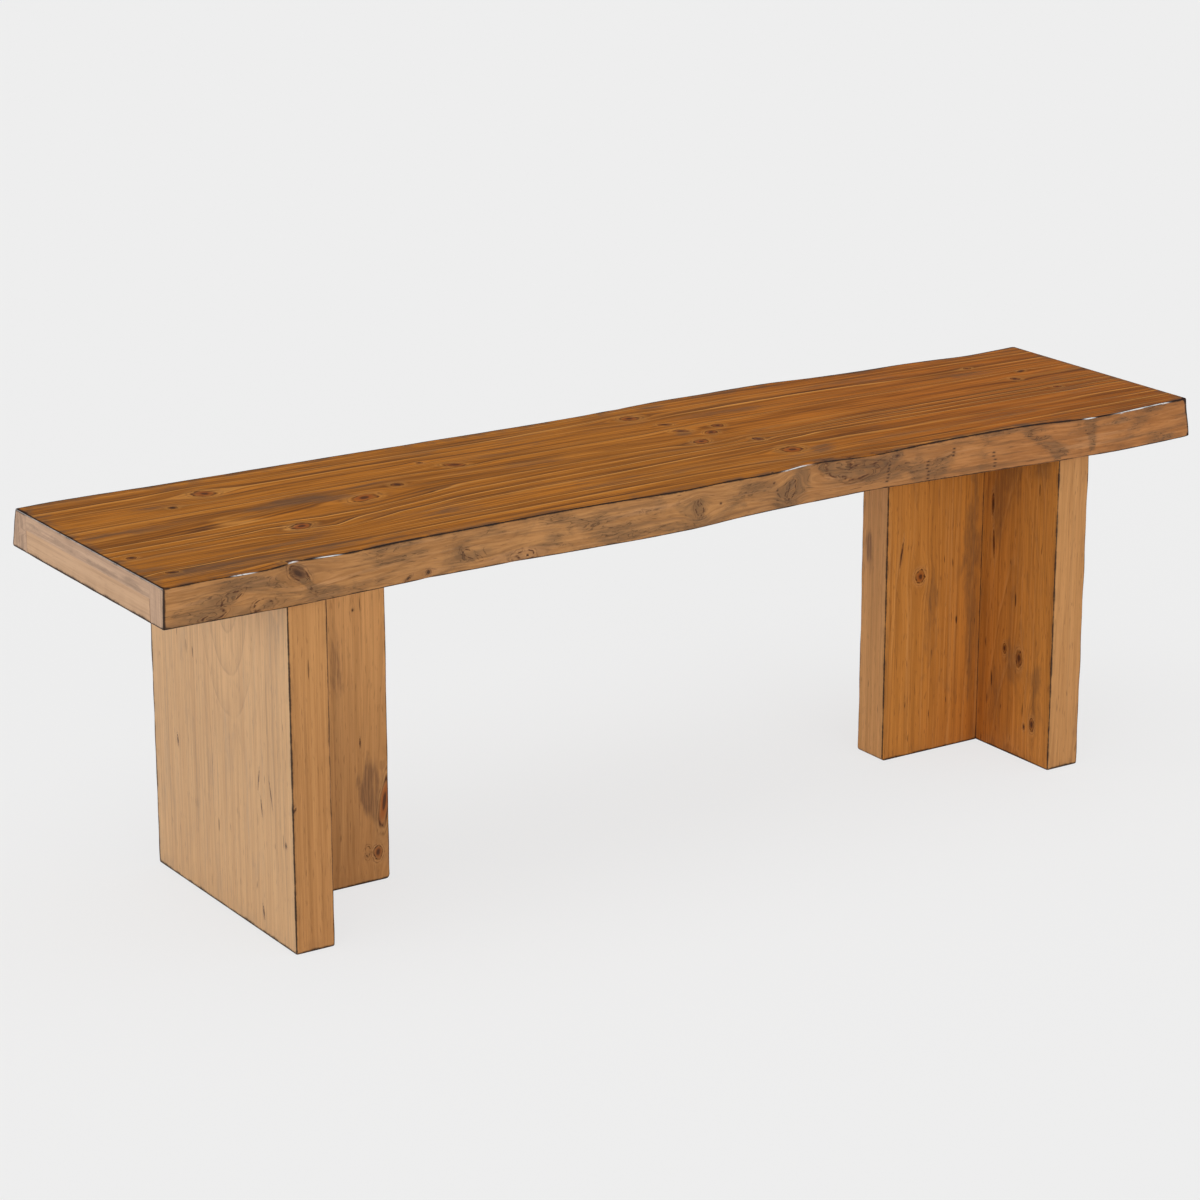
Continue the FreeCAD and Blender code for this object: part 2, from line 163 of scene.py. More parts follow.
def corners_of(mesh):
    """Each face corner's place, its face's normal and its face's middle."""
    sizes = read(mesh.polygons, "loop_total", kind=int)
    return (
        read(mesh.vertices, "co", 3)[read(mesh.loops, "vertex_index", kind=int)],
        np.repeat(read(mesh.polygons, "normal", 3), sizes, 0),
        np.repeat(read(mesh.polygons, "center", 3), sizes, 0))


def store(mesh, name, *values):
    """Keep three values on each face corner."""
    held = mesh.attributes.new(name, "FLOAT_VECTOR", "CORNER")
    held.data.foreach_set("vector", np.stack(values, 1).astype(np.float32).ravel())


def nearest_arris(*clear):
    """How far from the nearest arris: the second smallest of the distances from faces."""
    return np.sort(np.stack(clear), 0)[1]


def turned(du, dv, degrees):
    """Distances along and across a direction that is turned by so many degrees."""
    turn = math.radians(degrees)
    along = math.cos(turn) * du + math.sin(turn) * dv
    return along, math.cos(turn) * dv - math.sin(turn) * du


# A mark belongs to a face that lies within this distance of its place, or a large knot's size
MARK_DEPTH = 12 * MM
# Knots show to this many of their radii, and far from all knots their coordinates are these
KNOT_REACH = 3.2
NO_KNOT = (9.0, 9.0, 0.0)


def grow(piece, axis, rings, knots=(), smudges=(), arris=None, bold=None, ends_upright=True):
    """Store the wood's figure on each face corner, for the materials to read.

    grain   metres along the grain, metres across it, and the number of the growth ring
    knot    the nearest knot's own coordinates, 1 at its rim, and its tone, from pale 0 to red 1
    finish  how smudged with glaze, how bold the growth lines, millimetres from the nearest arris

    On the end faces the figure runs upright, or else across the piece. Knots bend the grain
    that passes them.
    """
    mesh = piece.data
    points, normals, middles = corners_of(mesh)
    facing = np.abs(normals).argmax(1)
    others = [other for other in range(3) if other != axis]
    across = np.where(facing == others[0], others[1], others[0])
    along = np.where(facing == axis, others[ends_upright], axis)
    across = np.where(facing == axis, others[not ends_upright], across)
    rows = np.arange(len(points))
    u, v = points[rows, along], points[rows, across]
    bent = v.copy()
    local = np.tile(NO_KNOT, (len(points), 1))
    nearest = np.full(len(points), KNOT_REACH)
    for x, y, z, long, wide, turn, tone in knots:
        centre, long, wide = np.array((x, y, z)) * MM, long * MM, wide * MM

        def own(places):
            du, dv = places[rows, along] - centre[along], places[rows, across] - centre[across]
            lengthways, sideways = turned(du, dv, turn)
            return lengthways / long, sideways / wide

        depth = np.abs(middles[rows, facing] - centre[facing])
        level = depth < max(long, wide, MARK_DEPTH)
        far = np.hypot(*own(middles))
        taken = level & (far < nearest)
        nearest[taken] = far[taken]
        for part, values in enumerate((*own(points), np.full(len(points), tone))):
            local[taken, part] = values[taken]
        du, dv = (u - centre[along]) / long, (v - centre[across]) / wide
        beside = np.maximum(np.abs(dv) - 1, 0)
        push = 0.95 * np.tanh(2 * dv) * np.exp(-(du / 2.2) ** 2 / 2 - beside / 1.8)
        bent -= np.where(level, wide * push, 0)
    smudge = np.zeros(len(points))
    for x, y, z, long, wide, turn, depth in smudges:
        centre = np.array((x, y, z)) * MM
        lengthways, sideways = turned(u - centre[along], v - centre[across], turn)
        level = np.abs(points[rows, facing] - centre[facing]) < MARK_DEPTH
        reach = np.hypot(lengthways / (long * MM), sideways / (wide * MM))
        smudge += np.where(level, depth * np.exp(-reach ** 2), 0)
    plain = np.full(len(points), 0.5)
    store(mesh, "grain", u, bent, rings(points, normals, u, bent))
    store(mesh, "knot", *local.T)
    store(mesh, "finish", smudge,
          plain if bold is None else bold(points, normals, u, bent),
          plain * 100 if arris is None else arris(points) / MM)


def rings_about(pith, lean, spacing, axis):
    """Growth rings round a pith line through a point, which leans from the grain's direction."""
    way = np.array(lean, float)
    way[axis] = 1
    way /= np.linalg.norm(way)

    def count(points, normals, u, bent):
        away = points - np.array(pith) * MM
        return np.linalg.norm(np.cross(away, way), axis=1) / (spacing * MM)

    return count


# Growth lines on the top of the seat, from the back to the front. Each has a boldness and the
# places that it passes: x, y and the number of the ring there, which rises and falls again
# where a pointed arch of grain closes.
GROWTH_LINES = [
    (0.3, [(-710, 180, 0), (710, 180, 0)]),
    (0.75, [(-710, 128, 2), (-350, 131, 2), (-100, 126, 2), (250, 140, 2), (710, 122, 2)]),
    (0.7, [(-710, 104, 3), (-300, 108, 3), (0, 104, 3.2), (300, 108, 3), (710, 92, 3)]),
    (0.2, [(-710, 70, 4), (0, 78, 4), (710, 72, 4.2)]),
    (1.0, [(-710, 39, 6), (-560, 44, 6), (-350, 51, 6), (50, 52, 6), (131, 58, 6), (320, 60, 6),
           (710, 55, 6)]),
    (0.35, [(-710, 18, 6.2), (-620, 17, 6.4), (-420, 14, 7.3), (-330, 12, 7.3), (-60, 10, 7.0),
            (60, 8, 6.6), (200, 6, 6.4), (450, 12, 6.6), (710, 14, 6.4)]),
    (0.8, [(-710, -22, 6.4), (-500, -22, 6.8), (-380, -30, 7.2), (-250, -20, 8.0), (0, -24, 8.7),
           (110, -27, 8.6), (190, -22, 7.8), (340, -12, 7.8), (500, -6, 7.6), (710, -4, 7.4)]),
    (1.0, [(-710, -66, 9), (-520, -62, 9), (-445, -84, 9), (-360, -76, 10), (-277, -64, 10),
           (-188, -56, 10), (-11, -48, 10), (144, -40, 10), (250, -50, 11), (400, -55, 11),
           (710, -60, 11)]),
    (0.4, [(-710, -98, 10.8), (-520, -100, 10.8), (-445, -105, 10.4), (-330, -97, 11.3),
           (-188, -94, 11.7), (60, -94, 12.0), (300, -96, 12.0), (710, -98, 12.0)]),
    (0.8, [(-710, -146, 13), (-680, -142, 13), (-587, -133, 13), (-471, -133, 13),
           (-348, -125, 13), (0, -131, 14), (300, -142, 14), (710, -138, 14)]),
    (0.3, [(-710, -200, 15.5), (-300, -180, 16), (710, -190, 16)]),
]


def read_growth_lines(x, y, part):
    """The ring number (part 1) or the boldness (part 0) at each place on the top."""
    places, values = [], []
    for bold, route in GROWTH_LINES:
        xs, ys, numbers = np.array(route).T
        places.append(np.interp(x / MM, xs, ys))
        values.append(np.interp(x / MM, xs, numbers) if part else np.full(len(x), bold))
    result = values[0].copy()
    for upper, lower, high, low in zip(places, places[1:], values, values[1:]):
        share = np.clip((upper - y / MM) / (upper - lower), 0, 1)
        result = np.where(y / MM <= upper, high + (low - high) * share, result)
    return result


def on_top(points, normals):
    """Whether each point is on the top of the seat or on the upper half of its eased arris."""
    return (normals[:, 2] > 0.6) & (points[:, 2] > SEAT_TOP - 4 * MM)


def slab_rings(pith, lean, spacing):
    """The drawn growth lines on top, and rings round a pith elsewhere."""
    inside = rings_about(pith, lean, spacing, 0)

    def count(points, normals, u, bent):
        drawn = read_growth_lines(u, bent, 1)
        return np.where(on_top(points, normals), drawn, inside(points, normals, u, bent))

    return count


def slab_bold(points, normals, u, bent):
    return np.where(on_top(points, normals), read_growth_lines(u, bent, 0), 0.5)


def on_face(axis, place, rows):
    """Marks that share their place on one axis, by its number, and give the other two."""
    return [(*row[:axis], place, *row[axis:]) for row in rows]


# Knots in the top: x, y, half length, half width, turn in degrees, tone
TOP_KNOTS = on_face(2, 450, [
    (-509, 111, 15, 12.5, -25, 0.8), (-564, 78, 5.5, 5, 0, 0.05), (-688, -72, 6, 5, 0, 0.2),
    (-676, -142, 7, 4, -15, 0.15), (-481, -64, 14, 10.5, 20, 0.95), (-367, -3, 19, 11, 20, 0.9),
    (-309, 25, 7.5, 7, 0, 0.25), (-240, 92, 4.5, 4, 0, 0.2), (-211, 62, 13, 8, -35, 0.6),
    (77, 129, 13, 11, 0, 0.75), (96, 81, 9, 5, -30, 0.45), (95, 46, 11, 6.5, -25, 0.4),
    (147, 43, 8, 7, 30, 0.55), (122, 21, 9, 7.5, 25, 0.6), (87, -8, 12, 9, 40, 0.8),
    (150, -35, 6, 8, 10, 0.4), (155, -96, 14, 13, 0, 0.95), (581, 105, 6, 4.5, 0, 0.7),
    (629, 56, 6.5, 4, 20, 0.15), (597, 28, 6.5, 7, 0, 0.45), (615, -32, 6, 5, 0, 0.75),
])
# Soft patches of dark glaze: two places, half length, half width, turn in degrees, depth
TOP_SMUDGES = on_face(2, 450, [
    (-450, 27, 55, 16, 4, 0.8), (-395, 12, 40, 14, -12, 0.75), (-640, 18, 70, 14, 0, 0.6),
    (-592, 88, 40, 7, -3, 0.6), (-480, -104, 34, 16, 10, 0.65), (-640, -80, 60, 8, 0, 0.5),
    (-690, -118, 26, 9, 0, 0.5), (-328, 40, 44, 8, 0, 0.55), (-170, 74, 50, 9, 0, 0.45),
    (-300, -100, 60, 12, 3, 0.5), (-60, -100, 90, 14, 0, 0.35), (92, 34, 16, 12, 20, 0.8),
    (108, 8, 14, 10, 20, 0.5), (188, -110, 22, 15, 30, 0.75), (140, -122, 36, 12, 0, 0.45),
    (130, 160, 24, 10, 0, 0.9), (40, 104, 60, 9, 0, 0.4), (210, 96, 80, 10, 3, 0.35),
    (560, 80, 80, 14, 0, 0.35), (640, -50, 60, 16, 0, 0.3), (330, -110, 120, 16, 0, 0.3),
    (-200, 132, 200, 9, 0, 0.4), (-560, 150, 130, 10, 0, 0.35), (420, 130, 160, 12, -2, 0.3),
    (-620, -150, 90, 12, 3, 1.1), (-490, -150, 80, 10, 4, 0.9), (-560, -118, 60, 9, 2, 0.6),
    (-120, 20, 70, 9, 0, 0.35), (470, -170, 180, 12, 0, 0.35), (-380, -160, 160, 9, 0, 0.35),
])
END_SMUDGES = on_face(0, -710, [
    (-20, 436, 30, 2.5, 3, 1.0), (-66, 435, 22, 3, 0, 1.0), (-118, 437, 24, 3.5, 3, 1.2),
    (124, 440, 18, 3, 0, 0.8), (60, 438, 34, 3, 0, 0.6),
])


class Nodes:
    """Short ways to add nodes to one tree. A value given as a socket is linked."""

    def __init__(self, tree):
        self.tree = tree

    def link(self, value, socket):
        self.tree.links.new(value, socket)

    def add(self, kind, inputs=(), **settings):
        made = self.tree.nodes.new(kind)
        for setting, value in settings.items():
            setattr(made, setting, value)
        for socket, value in dict(inputs).items():
            if isinstance(value, bpy.types.NodeSocket):
                self.link(value, made.inputs[socket])
            else:
                made.inputs[socket].default_value = value
        return made

    def maths(self, operation, *values):
        return self.add("ShaderNodeMath", enumerate(values), operation=operation).outputs[0]

    def times(self, value, other):
        return self.maths("MULTIPLY", value, other)

    def rise(self, value, low, high, start=0.0, end=1.0):
        """A smooth step from start at low to end at high."""
        sockets = {
            "Value": value, "From Min": low, "From Max": high, "To Min": start, "To Max": end}
        made = self.add("ShaderNodeMapRange", sockets, interpolation_type="SMOOTHSTEP")
        return made.outputs[0]

    def fall(self, value, low, high):
        return self.rise(value, low, high, 1.0, 0.0)

    def mix(self, share, colour, other, blend="MIX"):
        made = self.add(
            "ShaderNodeMix", {0: share, 6: colour, 7: other}, data_type="RGBA",
            blend_type=blend, clamp_factor=True)
        return made.outputs[2]

    def vector(self, *values):
        return self.add("ShaderNodeCombineXYZ", enumerate(values)).outputs[0]

    def parts(self, vector):
        return self.add("ShaderNodeSeparateXYZ", {0: vector}).outputs[:]

    def noise(self, vector, scale, detail=2.0, roughness=0.5, distortion=0.0):
        sockets = {"Vector": vector, "Scale": scale, "Detail": detail, "Roughness": roughness,
                   "Distortion": distortion}
        return self.add("ShaderNodeTexNoise", sockets).outputs[0]

    def grain(self, vector, scales, *settings):
        """Noise that has a scale of its own in each direction."""
        stretched = self.add(
            "ShaderNodeVectorMath", {0: vector, 1: scales}, operation="MULTIPLY").outputs[0]
        return self.noise(stretched, 1.0, *settings)

    def bump(self, strength, distance, height):
        sockets = {"Strength": strength, "Distance": distance, "Height": height}
        return self.add("ShaderNodeBump", sockets).outputs[0]

    def place(self):
        return self.add("ShaderNodeTexCoord").outputs["Object"]

    def stored(self, name):
        made = self.add("ShaderNodeAttribute", attribute_name=name, attribute_type="GEOMETRY")
        return made.outputs["Vector"]

    def group(self, tree, **inputs):
        named = {name.replace("_", " "): value for name, value in inputs.items()}
        return self.add("ShaderNodeGroup", named, node_tree=tree).outputs


def effect(name, inputs, outputs):
    """An empty shader node group with named sockets; returns its nodes, its inputs and its end."""
    tree = bpy.data.node_groups.new(name, "ShaderNodeTree")
    for socket, (kind, value) in inputs.items():
        made = tree.interface.new_socket(socket, in_out="INPUT", socket_type="NodeSocket" + kind)
        if value is not None:
            made.default_value = value
    for socket in outputs:
        tree.interface.new_socket(socket, in_out="OUTPUT", socket_type="NodeSocketFloat")
    nodes = Nodes(tree)
    return nodes, nodes.add("NodeGroupInput").outputs, nodes.add("NodeGroupOutput").inputs


# Pine figure: late wood darkens up to each growth line and a honey line follows it. Finer lines
# keep them company, and streaks and fibres run along the grain or follow the growth lines.
def pine_figure():
    nodes, given, out = effect(
        "Pine figure",
        {"Grain": ("Vector", None), "Boldness": ("Float", 0.5), "Seed": ("Float", 0.0),
         "Follow": ("Float", 0.0), "Fineness": ("Float", 1.0), "Finer lines": ("Float", 2.0),
         "Wander": ("Float", 0.7), "Shortness": ("Float", 1.0)},
        ["Dark line", "Honey line", "Fibre", "Pores", "Checks", "Dark streak", "Bright streak"])
    along, across, ring = nodes.parts(given["Grain"])
    place = nodes.vector(along, across, given["Seed"])
    wander = nodes.grain(place, (5, 34, 1), 2.0)
    number = nodes.maths("MULTIPLY_ADD", wander, given["Wander"], ring)
    seen = nodes.grain(place, (3, 48, 1), 1.0)

    share = nodes.maths("FRACT", number)
    soft = nodes.times(nodes.rise(share, 0.35, 0.90), 0.5)
    late = nodes.maths("MULTIPLY_ADD", nodes.rise(share, 0.84, 0.92), 0.5, soft)
    late = nodes.times(late, nodes.fall(share, 0.92, 0.98))
    early = nodes.maths("MAXIMUM", nodes.rise(share, 0.93, 0.99), nodes.fall(share, 0.0, 0.14))
    strength = nodes.maths("MULTIPLY_ADD", given["Boldness"], 0.55, nodes.times(seen, 0.6))
    shown = nodes.rise(strength, 0.42, 0.88, 0.06, 1.0)
    uneven = nodes.times(nodes.grain(place, (3, 70, 1), 2.0), 2.6)
    share = nodes.maths("FRACT", nodes.maths("MULTIPLY_ADD", number, given["Finer lines"], uneven))
    finer = nodes.times(nodes.rise(share, 0.2, 0.7), nodes.fall(share, 0.75, 0.98))
    again = nodes.grain(place, (2.2, 26, 1), 1.0)
    finer = nodes.times(finer, nodes.rise(again, 0.44, 0.66, 0.0, 0.36))
    dark = nodes.maths("MAXIMUM", nodes.times(late, shown), finer)
    fades = nodes.rise(given["Boldness"], 0.0, 0.2)
    nodes.link(nodes.times(dark, fades), out["Dark line"])
    honey = nodes.times(nodes.times(early, shown), fades)
    nodes.link(honey, out["Honey line"])
    flow = nodes.maths("MULTIPLY_ADD", ring, given["Follow"], across)
    flow = nodes.times(flow, given["Fineness"])
    short = nodes.times(along, given["Shortness"])
    drawn = nodes.vector(short, flow, given["Seed"])
    detail = nodes.times(given["Fineness"], 2.6)
    fine = nodes.grain(drawn, (10, 360, 1), detail, 0.6)
    broad = nodes.grain(drawn, (2.6, 70, 1), 2.0)
    fibre = nodes.maths("MULTIPLY_ADD", fine, 0.58, nodes.times(broad, 0.42))
    nodes.link(nodes.rise(fibre, 0.38, 0.62), out["Fibre"])
    for name, offset in (("Dark streak", 4.0), ("Bright streak", 9.0)):
        away = nodes.add(
            "ShaderNodeVectorMath", {0: drawn, 1: (0, 0, offset)}, operation="ADD").outputs[0]
        streak = nodes.grain(away, (2.4, 130, 1), 2.0, 0.6)
        nodes.link(nodes.rise(streak, 0.54, 0.70), out[name])
    ticks = nodes.grain(place, (60, 430, 1), 1.0)
    nodes.link(nodes.rise(ticks, 0.60, 0.75), out["Pores"])
    split = nodes.grain(place, (26, 240, 1), 1.0, 0.5, 0.3)
    nodes.link(nodes.rise(split, 0.71, 0.78), out["Checks"])
    return nodes.tree


# Knot: a dark heart in flesh that reddens with the tone and fades towards the rim, thin dark
# rings that break up, and a pale collar. A tone below zero is a swirl of grain with nothing but
# a torn rim.
def pine_knot():
    nodes, given, out = effect(
        "Knot", {"Place": ("Vector", None)}, ["Heart", "Rim", "Collar", "Halo", "Body"])
    u, v, tone = nodes.parts(given["Place"])
    seed = nodes.times(tone, 30.0)
    flat = nodes.vector(u, v, seed)
    ragged = nodes.noise(flat, 0.9, 2.0)
    broken = nodes.noise(flat, 1.9, 2.0)
    plain = nodes.vector(u, v, 0.0)
    away = nodes.add("ShaderNodeVectorMath", {0: plain}, operation="LENGTH").outputs["Value"]
    radius = nodes.maths("MULTIPLY_ADD", nodes.maths("SUBTRACT", ragged, 0.5), 1.0, away)
    solid = nodes.rise(tone, -0.02, 0.02)
    body = nodes.times(nodes.fall(radius, 0.40, 1.05), solid)
    reach = nodes.maths("MULTIPLY_ADD", tone, -0.30, 0.62)
    heart = nodes.fall(nodes.maths("DIVIDE", radius, reach), 0.4, 1.2)

    def ring(at, breadth):
        off = nodes.maths("ABSOLUTE", nodes.maths("SUBTRACT", radius, at))
        return nodes.fall(off, 0.0, breadth)

    rings = nodes.maths("MAXIMUM", ring(0.90, 0.24), nodes.times(ring(1.35, 0.14), 0.5))
    whole = nodes.times(solid, 0.42)
    rim = nodes.times(rings, nodes.maths("MAXIMUM", nodes.rise(broken, 0.42, 0.58), whole))
    collar = nodes.times(nodes.rise(radius, 0.95, 1.15), nodes.fall(radius, 1.15, 2.1))
    halo = nodes.times(nodes.fall(radius, 1.1, 2.8), nodes.rise(ragged, 0.45, 0.65))
    results = {
        "Heart": nodes.times(heart, solid), "Rim": rim, "Body": body,
        "Collar": nodes.times(collar, solid), "Halo": halo}
    for name, value in results.items():
        nodes.link(value, out[name])
    return nodes.tree


# Glaze: mottled, streaky patches where the dark finish was left on, and thin torn lines in them
def dark_glaze():
    nodes, given, out = effect(
        "Glaze",
        {"Grain": ("Vector", None), "Smudge": ("Float", 0.0), "Spread": ("Float", 0.3),
         "Stretch": ("Float", 4.0), "Seed": ("Float", 0.0)},
        ["Patches", "Torn"])
    along, across, _ = nodes.parts(given["Grain"])
    slow = nodes.maths("DIVIDE", along, given["Stretch"])
    place = nodes.vector(slow, across, given["Seed"])
    cloud = nodes.noise(place, 34.0, 4.0, 0.62, 0.9)
    streak = nodes.grain(place, (40, 190, 1), 3.0, 0.6)
    ragged = nodes.maths("MULTIPLY_ADD", cloud, 0.65, nodes.times(streak, 0.35))
    wanted = nodes.maths("MINIMUM", nodes.maths("ADD", given["Smudge"], given["Spread"]), 1.15)
    level = nodes.maths("MULTIPLY_ADD", wanted, -0.34, 0.74)
    over = nodes.maths("SUBTRACT", ragged, level)
    fine = nodes.grain(place, (160, 420, 1), 2.0)
    soaked = nodes.times(nodes.rise(over, -0.07, 0.16), nodes.rise(fine, 0.3, 0.62, 0.55, 1.0))
    nodes.link(soaked, out["Patches"])
    bend = nodes.grain(place, (46, 95, 1), 2.0, 0.6, 1.6)
    contour = nodes.maths("ABSOLUTE", nodes.maths("SUBTRACT", bend, 0.52))
    torn = nodes.times(nodes.fall(contour, 0.004, 0.020), nodes.rise(over, -0.03, 0.10))
    nodes.link(torn, out["Torn"])
    return nodes.tree


# Arris and glint: near black along the arris, a little unevenly, and a painted highlight, a thin
# white glint line, where one is given
def arris_and_glint():
    nodes, given, out = effect(
        "Arris and glint",
        {"Distance": ("Float", 100.0), "Place": ("Vector", None), "Width": ("Float", 1.6),
         "Rubbed": ("Float", 0.0)},
        ["Dark", "Soft", "Glint line"])
    uneven = nodes.noise(given["Place"], 45.0, 2.0)
    grit = nodes.noise(given["Place"], 300.0, 1.0)
    width = nodes.times(given["Width"], nodes.rise(uneven, 0.3, 0.7, 0.8, 1.25))
    reach = nodes.maths("DIVIDE", given["Distance"], width)
    reach = nodes.maths("MULTIPLY_ADD", nodes.maths("SUBTRACT", grit, 0.5), 0.5, reach)
    nodes.link(nodes.fall(reach, 0.5, 1.5), out["Dark"])
    soft = nodes.times(nodes.fall(reach, 0.8, 7.0), nodes.rise(uneven, 0.35, 0.7))
    nodes.link(soft, out["Soft"])
    glint_mask = nodes.times(given["Rubbed"], nodes.rise(grit, 0.25, 0.45, 0.4, 1.0))
    nodes.link(glint_mask, out["Glint line"])
    return nodes.tree


FIGURE, KNOT, GLAZE, ARRIS_AND_GLINT = pine_figure(), pine_knot(), dark_glaze(), arris_and_glint()


def new_material(name):
    """A material, its nodes and the inputs of its shader."""
    material = bpy.data.materials.new(name)
    material.use_nodes = True
    shader = material.node_tree.nodes["Principled BSDF"]
    return material, Nodes(material.node_tree), shader.inputs


def pine(name, pale, deep, honey, umber, smoke=(0.125, 0.055, 0.028), line=0.6, fibre=0.8,
         streaks=0.35, glow=0.3, follow=0.0, fineness=1.0, finer_lines=2.0, wander=0.7,
         short=1.0, pores=0.25, glaze=0.3, glaze_share=0.55, stretch=4.0, torn=0.0, checks=0.0,
         collar=0.3, arris_width=1.6, by_arris=0.15, rough=0.46, shine=0.2, relief=0.15,
         seed=0.0):
    """Stained pine, painted coat over coat.

    Pale and deep are the stain on soft and hard fibres, honey and umber the lines, and smoke is
    the dark glaze. Line, streaks, glow, pores, glaze_share, torn, checks, collar and by_arris
    say how strongly their coats cover; the others shape the figure and the surface.
    """
    material, nodes, shader = new_material(name)
    grain, own_knot = nodes.stored("grain"), nodes.stored("knot")
    smudge, bold, distance = nodes.parts(nodes.stored("finish"))
    glint_share, redder, paler = nodes.parts(nodes.stored("painted_light_and_tone"))
    place = nodes.place()
    figure = nodes.group(
        FIGURE, Grain=grain, Boldness=bold, Seed=seed, Follow=follow, Fineness=fineness,
        Finer_lines=finer_lines, Wander=wander, Shortness=short)
    knot = nodes.group(KNOT, Place=own_knot)
    left_on = nodes.group(
        GLAZE, Grain=grain, Smudge=smudge, Spread=glaze, Stretch=stretch, Seed=seed)
    arris_marks = nodes.group(ARRIS_AND_GLINT, Distance=distance, Place=place, Width=arris_width, Rubbed=glint_share)
    honey, umber, smoke = (*honey, 1), (*umber, 1), (*smoke, 1)
    flesh = nodes.mix(nodes.parts(own_knot)[2], umber, KNOT_RED)
    coats = [
        (figure["Bright streak"], glow, honey), (figure["Dark streak"], streaks, umber),
        (figure["Honey line"], line, honey), (figure["Dark line"], line, umber),
        (figure["Pores"], pores, umber), (left_on["Patches"], glaze_share, smoke),
        (arris_marks["Soft"], by_arris, smoke), (figure["Checks"], checks, KNOT_HEART),
        (left_on["Torn"], torn, KNOT_HEART), (knot["Halo"], 0.25, smoke),
        (knot["Collar"], collar, honey), (knot["Body"], 0.80, flesh),
        (knot["Rim"], 0.92, KNOT_RIM), (knot["Heart"], 0.78, KNOT_HEART),
        # The glint line is a painted highlight along the top arrises
        (arris_marks["Dark"], 0.92, ARRIS_COLOUR), (arris_marks["Glint line"], 0.9, GLINT_COLOUR),
    ]
    colour = nodes.mix(nodes.times(figure["Fibre"], fibre), (*pale, 1), (*deep, 1))
    # Tints: redder (the seat's own stain, and painted corner shade on the right leg), then paler,
    # which is painted light and sheen
    colour = nodes.mix(redder, colour, REDDER_STAIN_AND_SHADE, "MULTIPLY")
    colour = nodes.mix(paler, colour, PAINTED_LIGHT_TINT, "MULTIPLY")
    for mask, amount, coat in coats:
        if amount:
            colour = nodes.mix(nodes.times(mask, amount), colour, coat)
    sunk = nodes.maths("MULTIPLY_ADD", figure["Dark line"], 0.5, figure["Pores"])
    sunk = nodes.maths("MULTIPLY_ADD", knot["Rim"], 0.8, sunk)
    if torn:
        sunk = nodes.maths("ADD", left_on["Torn"], sunk)
    height = nodes.maths("MULTIPLY_ADD", figure["Fibre"], 0.6, nodes.times(sunk, -1.0))
    nodes.link(colour, shader["Base Color"])
    nodes.link(nodes.bump(relief, 0.6 * MM, height), shader["Normal"])
    nodes.link(nodes.maths("MULTIPLY_ADD", figure["Fibre"], 0.08, rough), shader["Roughness"])
    gloss = nodes.maths("MULTIPLY_ADD", arris_marks["Dark"], -0.9 * shine, shine)
    nodes.link(gloss, shader["Specular IOR Level"])
    return material


# Linear colours that all the pine shares; two tints multiply what is under them: a redder
# stain, which in the right leg's corner is painted shade, and a paler tint of painted light and
# sheen
REDDER_STAIN_AND_SHADE = (0.94, 0.81, 0.72, 1)
PAINTED_LIGHT_TINT = (1.60, 1.75, 1.90, 1)
KNOT_RED = (0.330, 0.078, 0.011, 1)
KNOT_RIM = (0.060, 0.016, 0.006, 1)
KNOT_HEART = (0.036, 0.015, 0.008, 1)
ARRIS_COLOUR = (0.016, 0.014, 0.015, 1)
# The white of the glint lines: a painted highlight on the top arrises
GLINT_COLOUR = (0.80, 0.78, 0.77, 1)

top_pine = pine(
    "stained_pine_top", pale=(0.530, 0.182, 0.015), deep=(0.190, 0.060, 0.008),
    honey=(0.68, 0.300, 0.062), umber=(0.064, 0.023, 0.010), smoke=(0.112, 0.063, 0.038),
    line=1.0, fibre=0.8, streaks=0.62, glow=0.34, follow=-0.040, fineness=0.55,
    finer_lines=1.9, wander=0.5, glaze=0.40, glaze_share=0.74, collar=0.30, arris_width=2.0,
    by_arris=0.6, shine=0.03)
# End grain's own stain; its pale, grey colour is partly painted sheen from the lit left end
end_pine = pine(
    "stained_pine_end_grain", pale=(0.54, 0.352, 0.231), deep=(0.375, 0.240, 0.163),
    honey=(0.53, 0.34, 0.21), umber=(0.22, 0.140, 0.095), smoke=(0.20, 0.13, 0.09),
    line=0.35, glaze=0.4, glaze_share=0.5, stretch=1.5, arris_width=1.5, rough=0.6, seed=3.0)


def finish_wood(piece, axis, long_grain, end_grain=end_pine, faces=()):
    """Long-grain faces take the first material and faces across the grain the second. Faces
    gives other materials by the direction a face looks in, such as -x."""
    mesh = piece.data
    for material in [long_grain, end_grain, *dict(faces).values()]:
        mesh.materials.append(material)
    normals = read(mesh.polygons, "normal", 3)
    taken = (np.abs(normals[:, axis]) > 0.8).astype(int)
    for number, (sign, letter) in enumerate(dict(faces)):
        looks = (-1 if sign == "-" else 1) * normals[:, "xyz".index(letter)]
        taken[looks > 0.7] = 2 + number
    mesh.polygons.foreach_set("material_index", taken)
    mesh.update()


def painted_light_and_tone(mesh, *shares):
    """Store on each corner a painted glint line along its arris, how much redder its stain turns,
    which on the right leg is painted corner shade, and how much painted light and sheen pale it.
    Each share is a function of the corners' places."""
    points = corners_of(mesh)[0]
    store(mesh, "painted_light_and_tone", *(share(points) for share in shares))


def nowhere(points):
    return np.zeros(len(points))


def to_the_right(points):
    """The stain turns redder towards the right end of the seat."""
    return np.interp(points[:, 0], (0, 0.45), (0, 1))


def stands_for(piece, slot, *nodes):
    """The piece rides on the bench's one body and takes the place of its CAD pieces."""
    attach(piece, "root")
    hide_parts(*nodes)


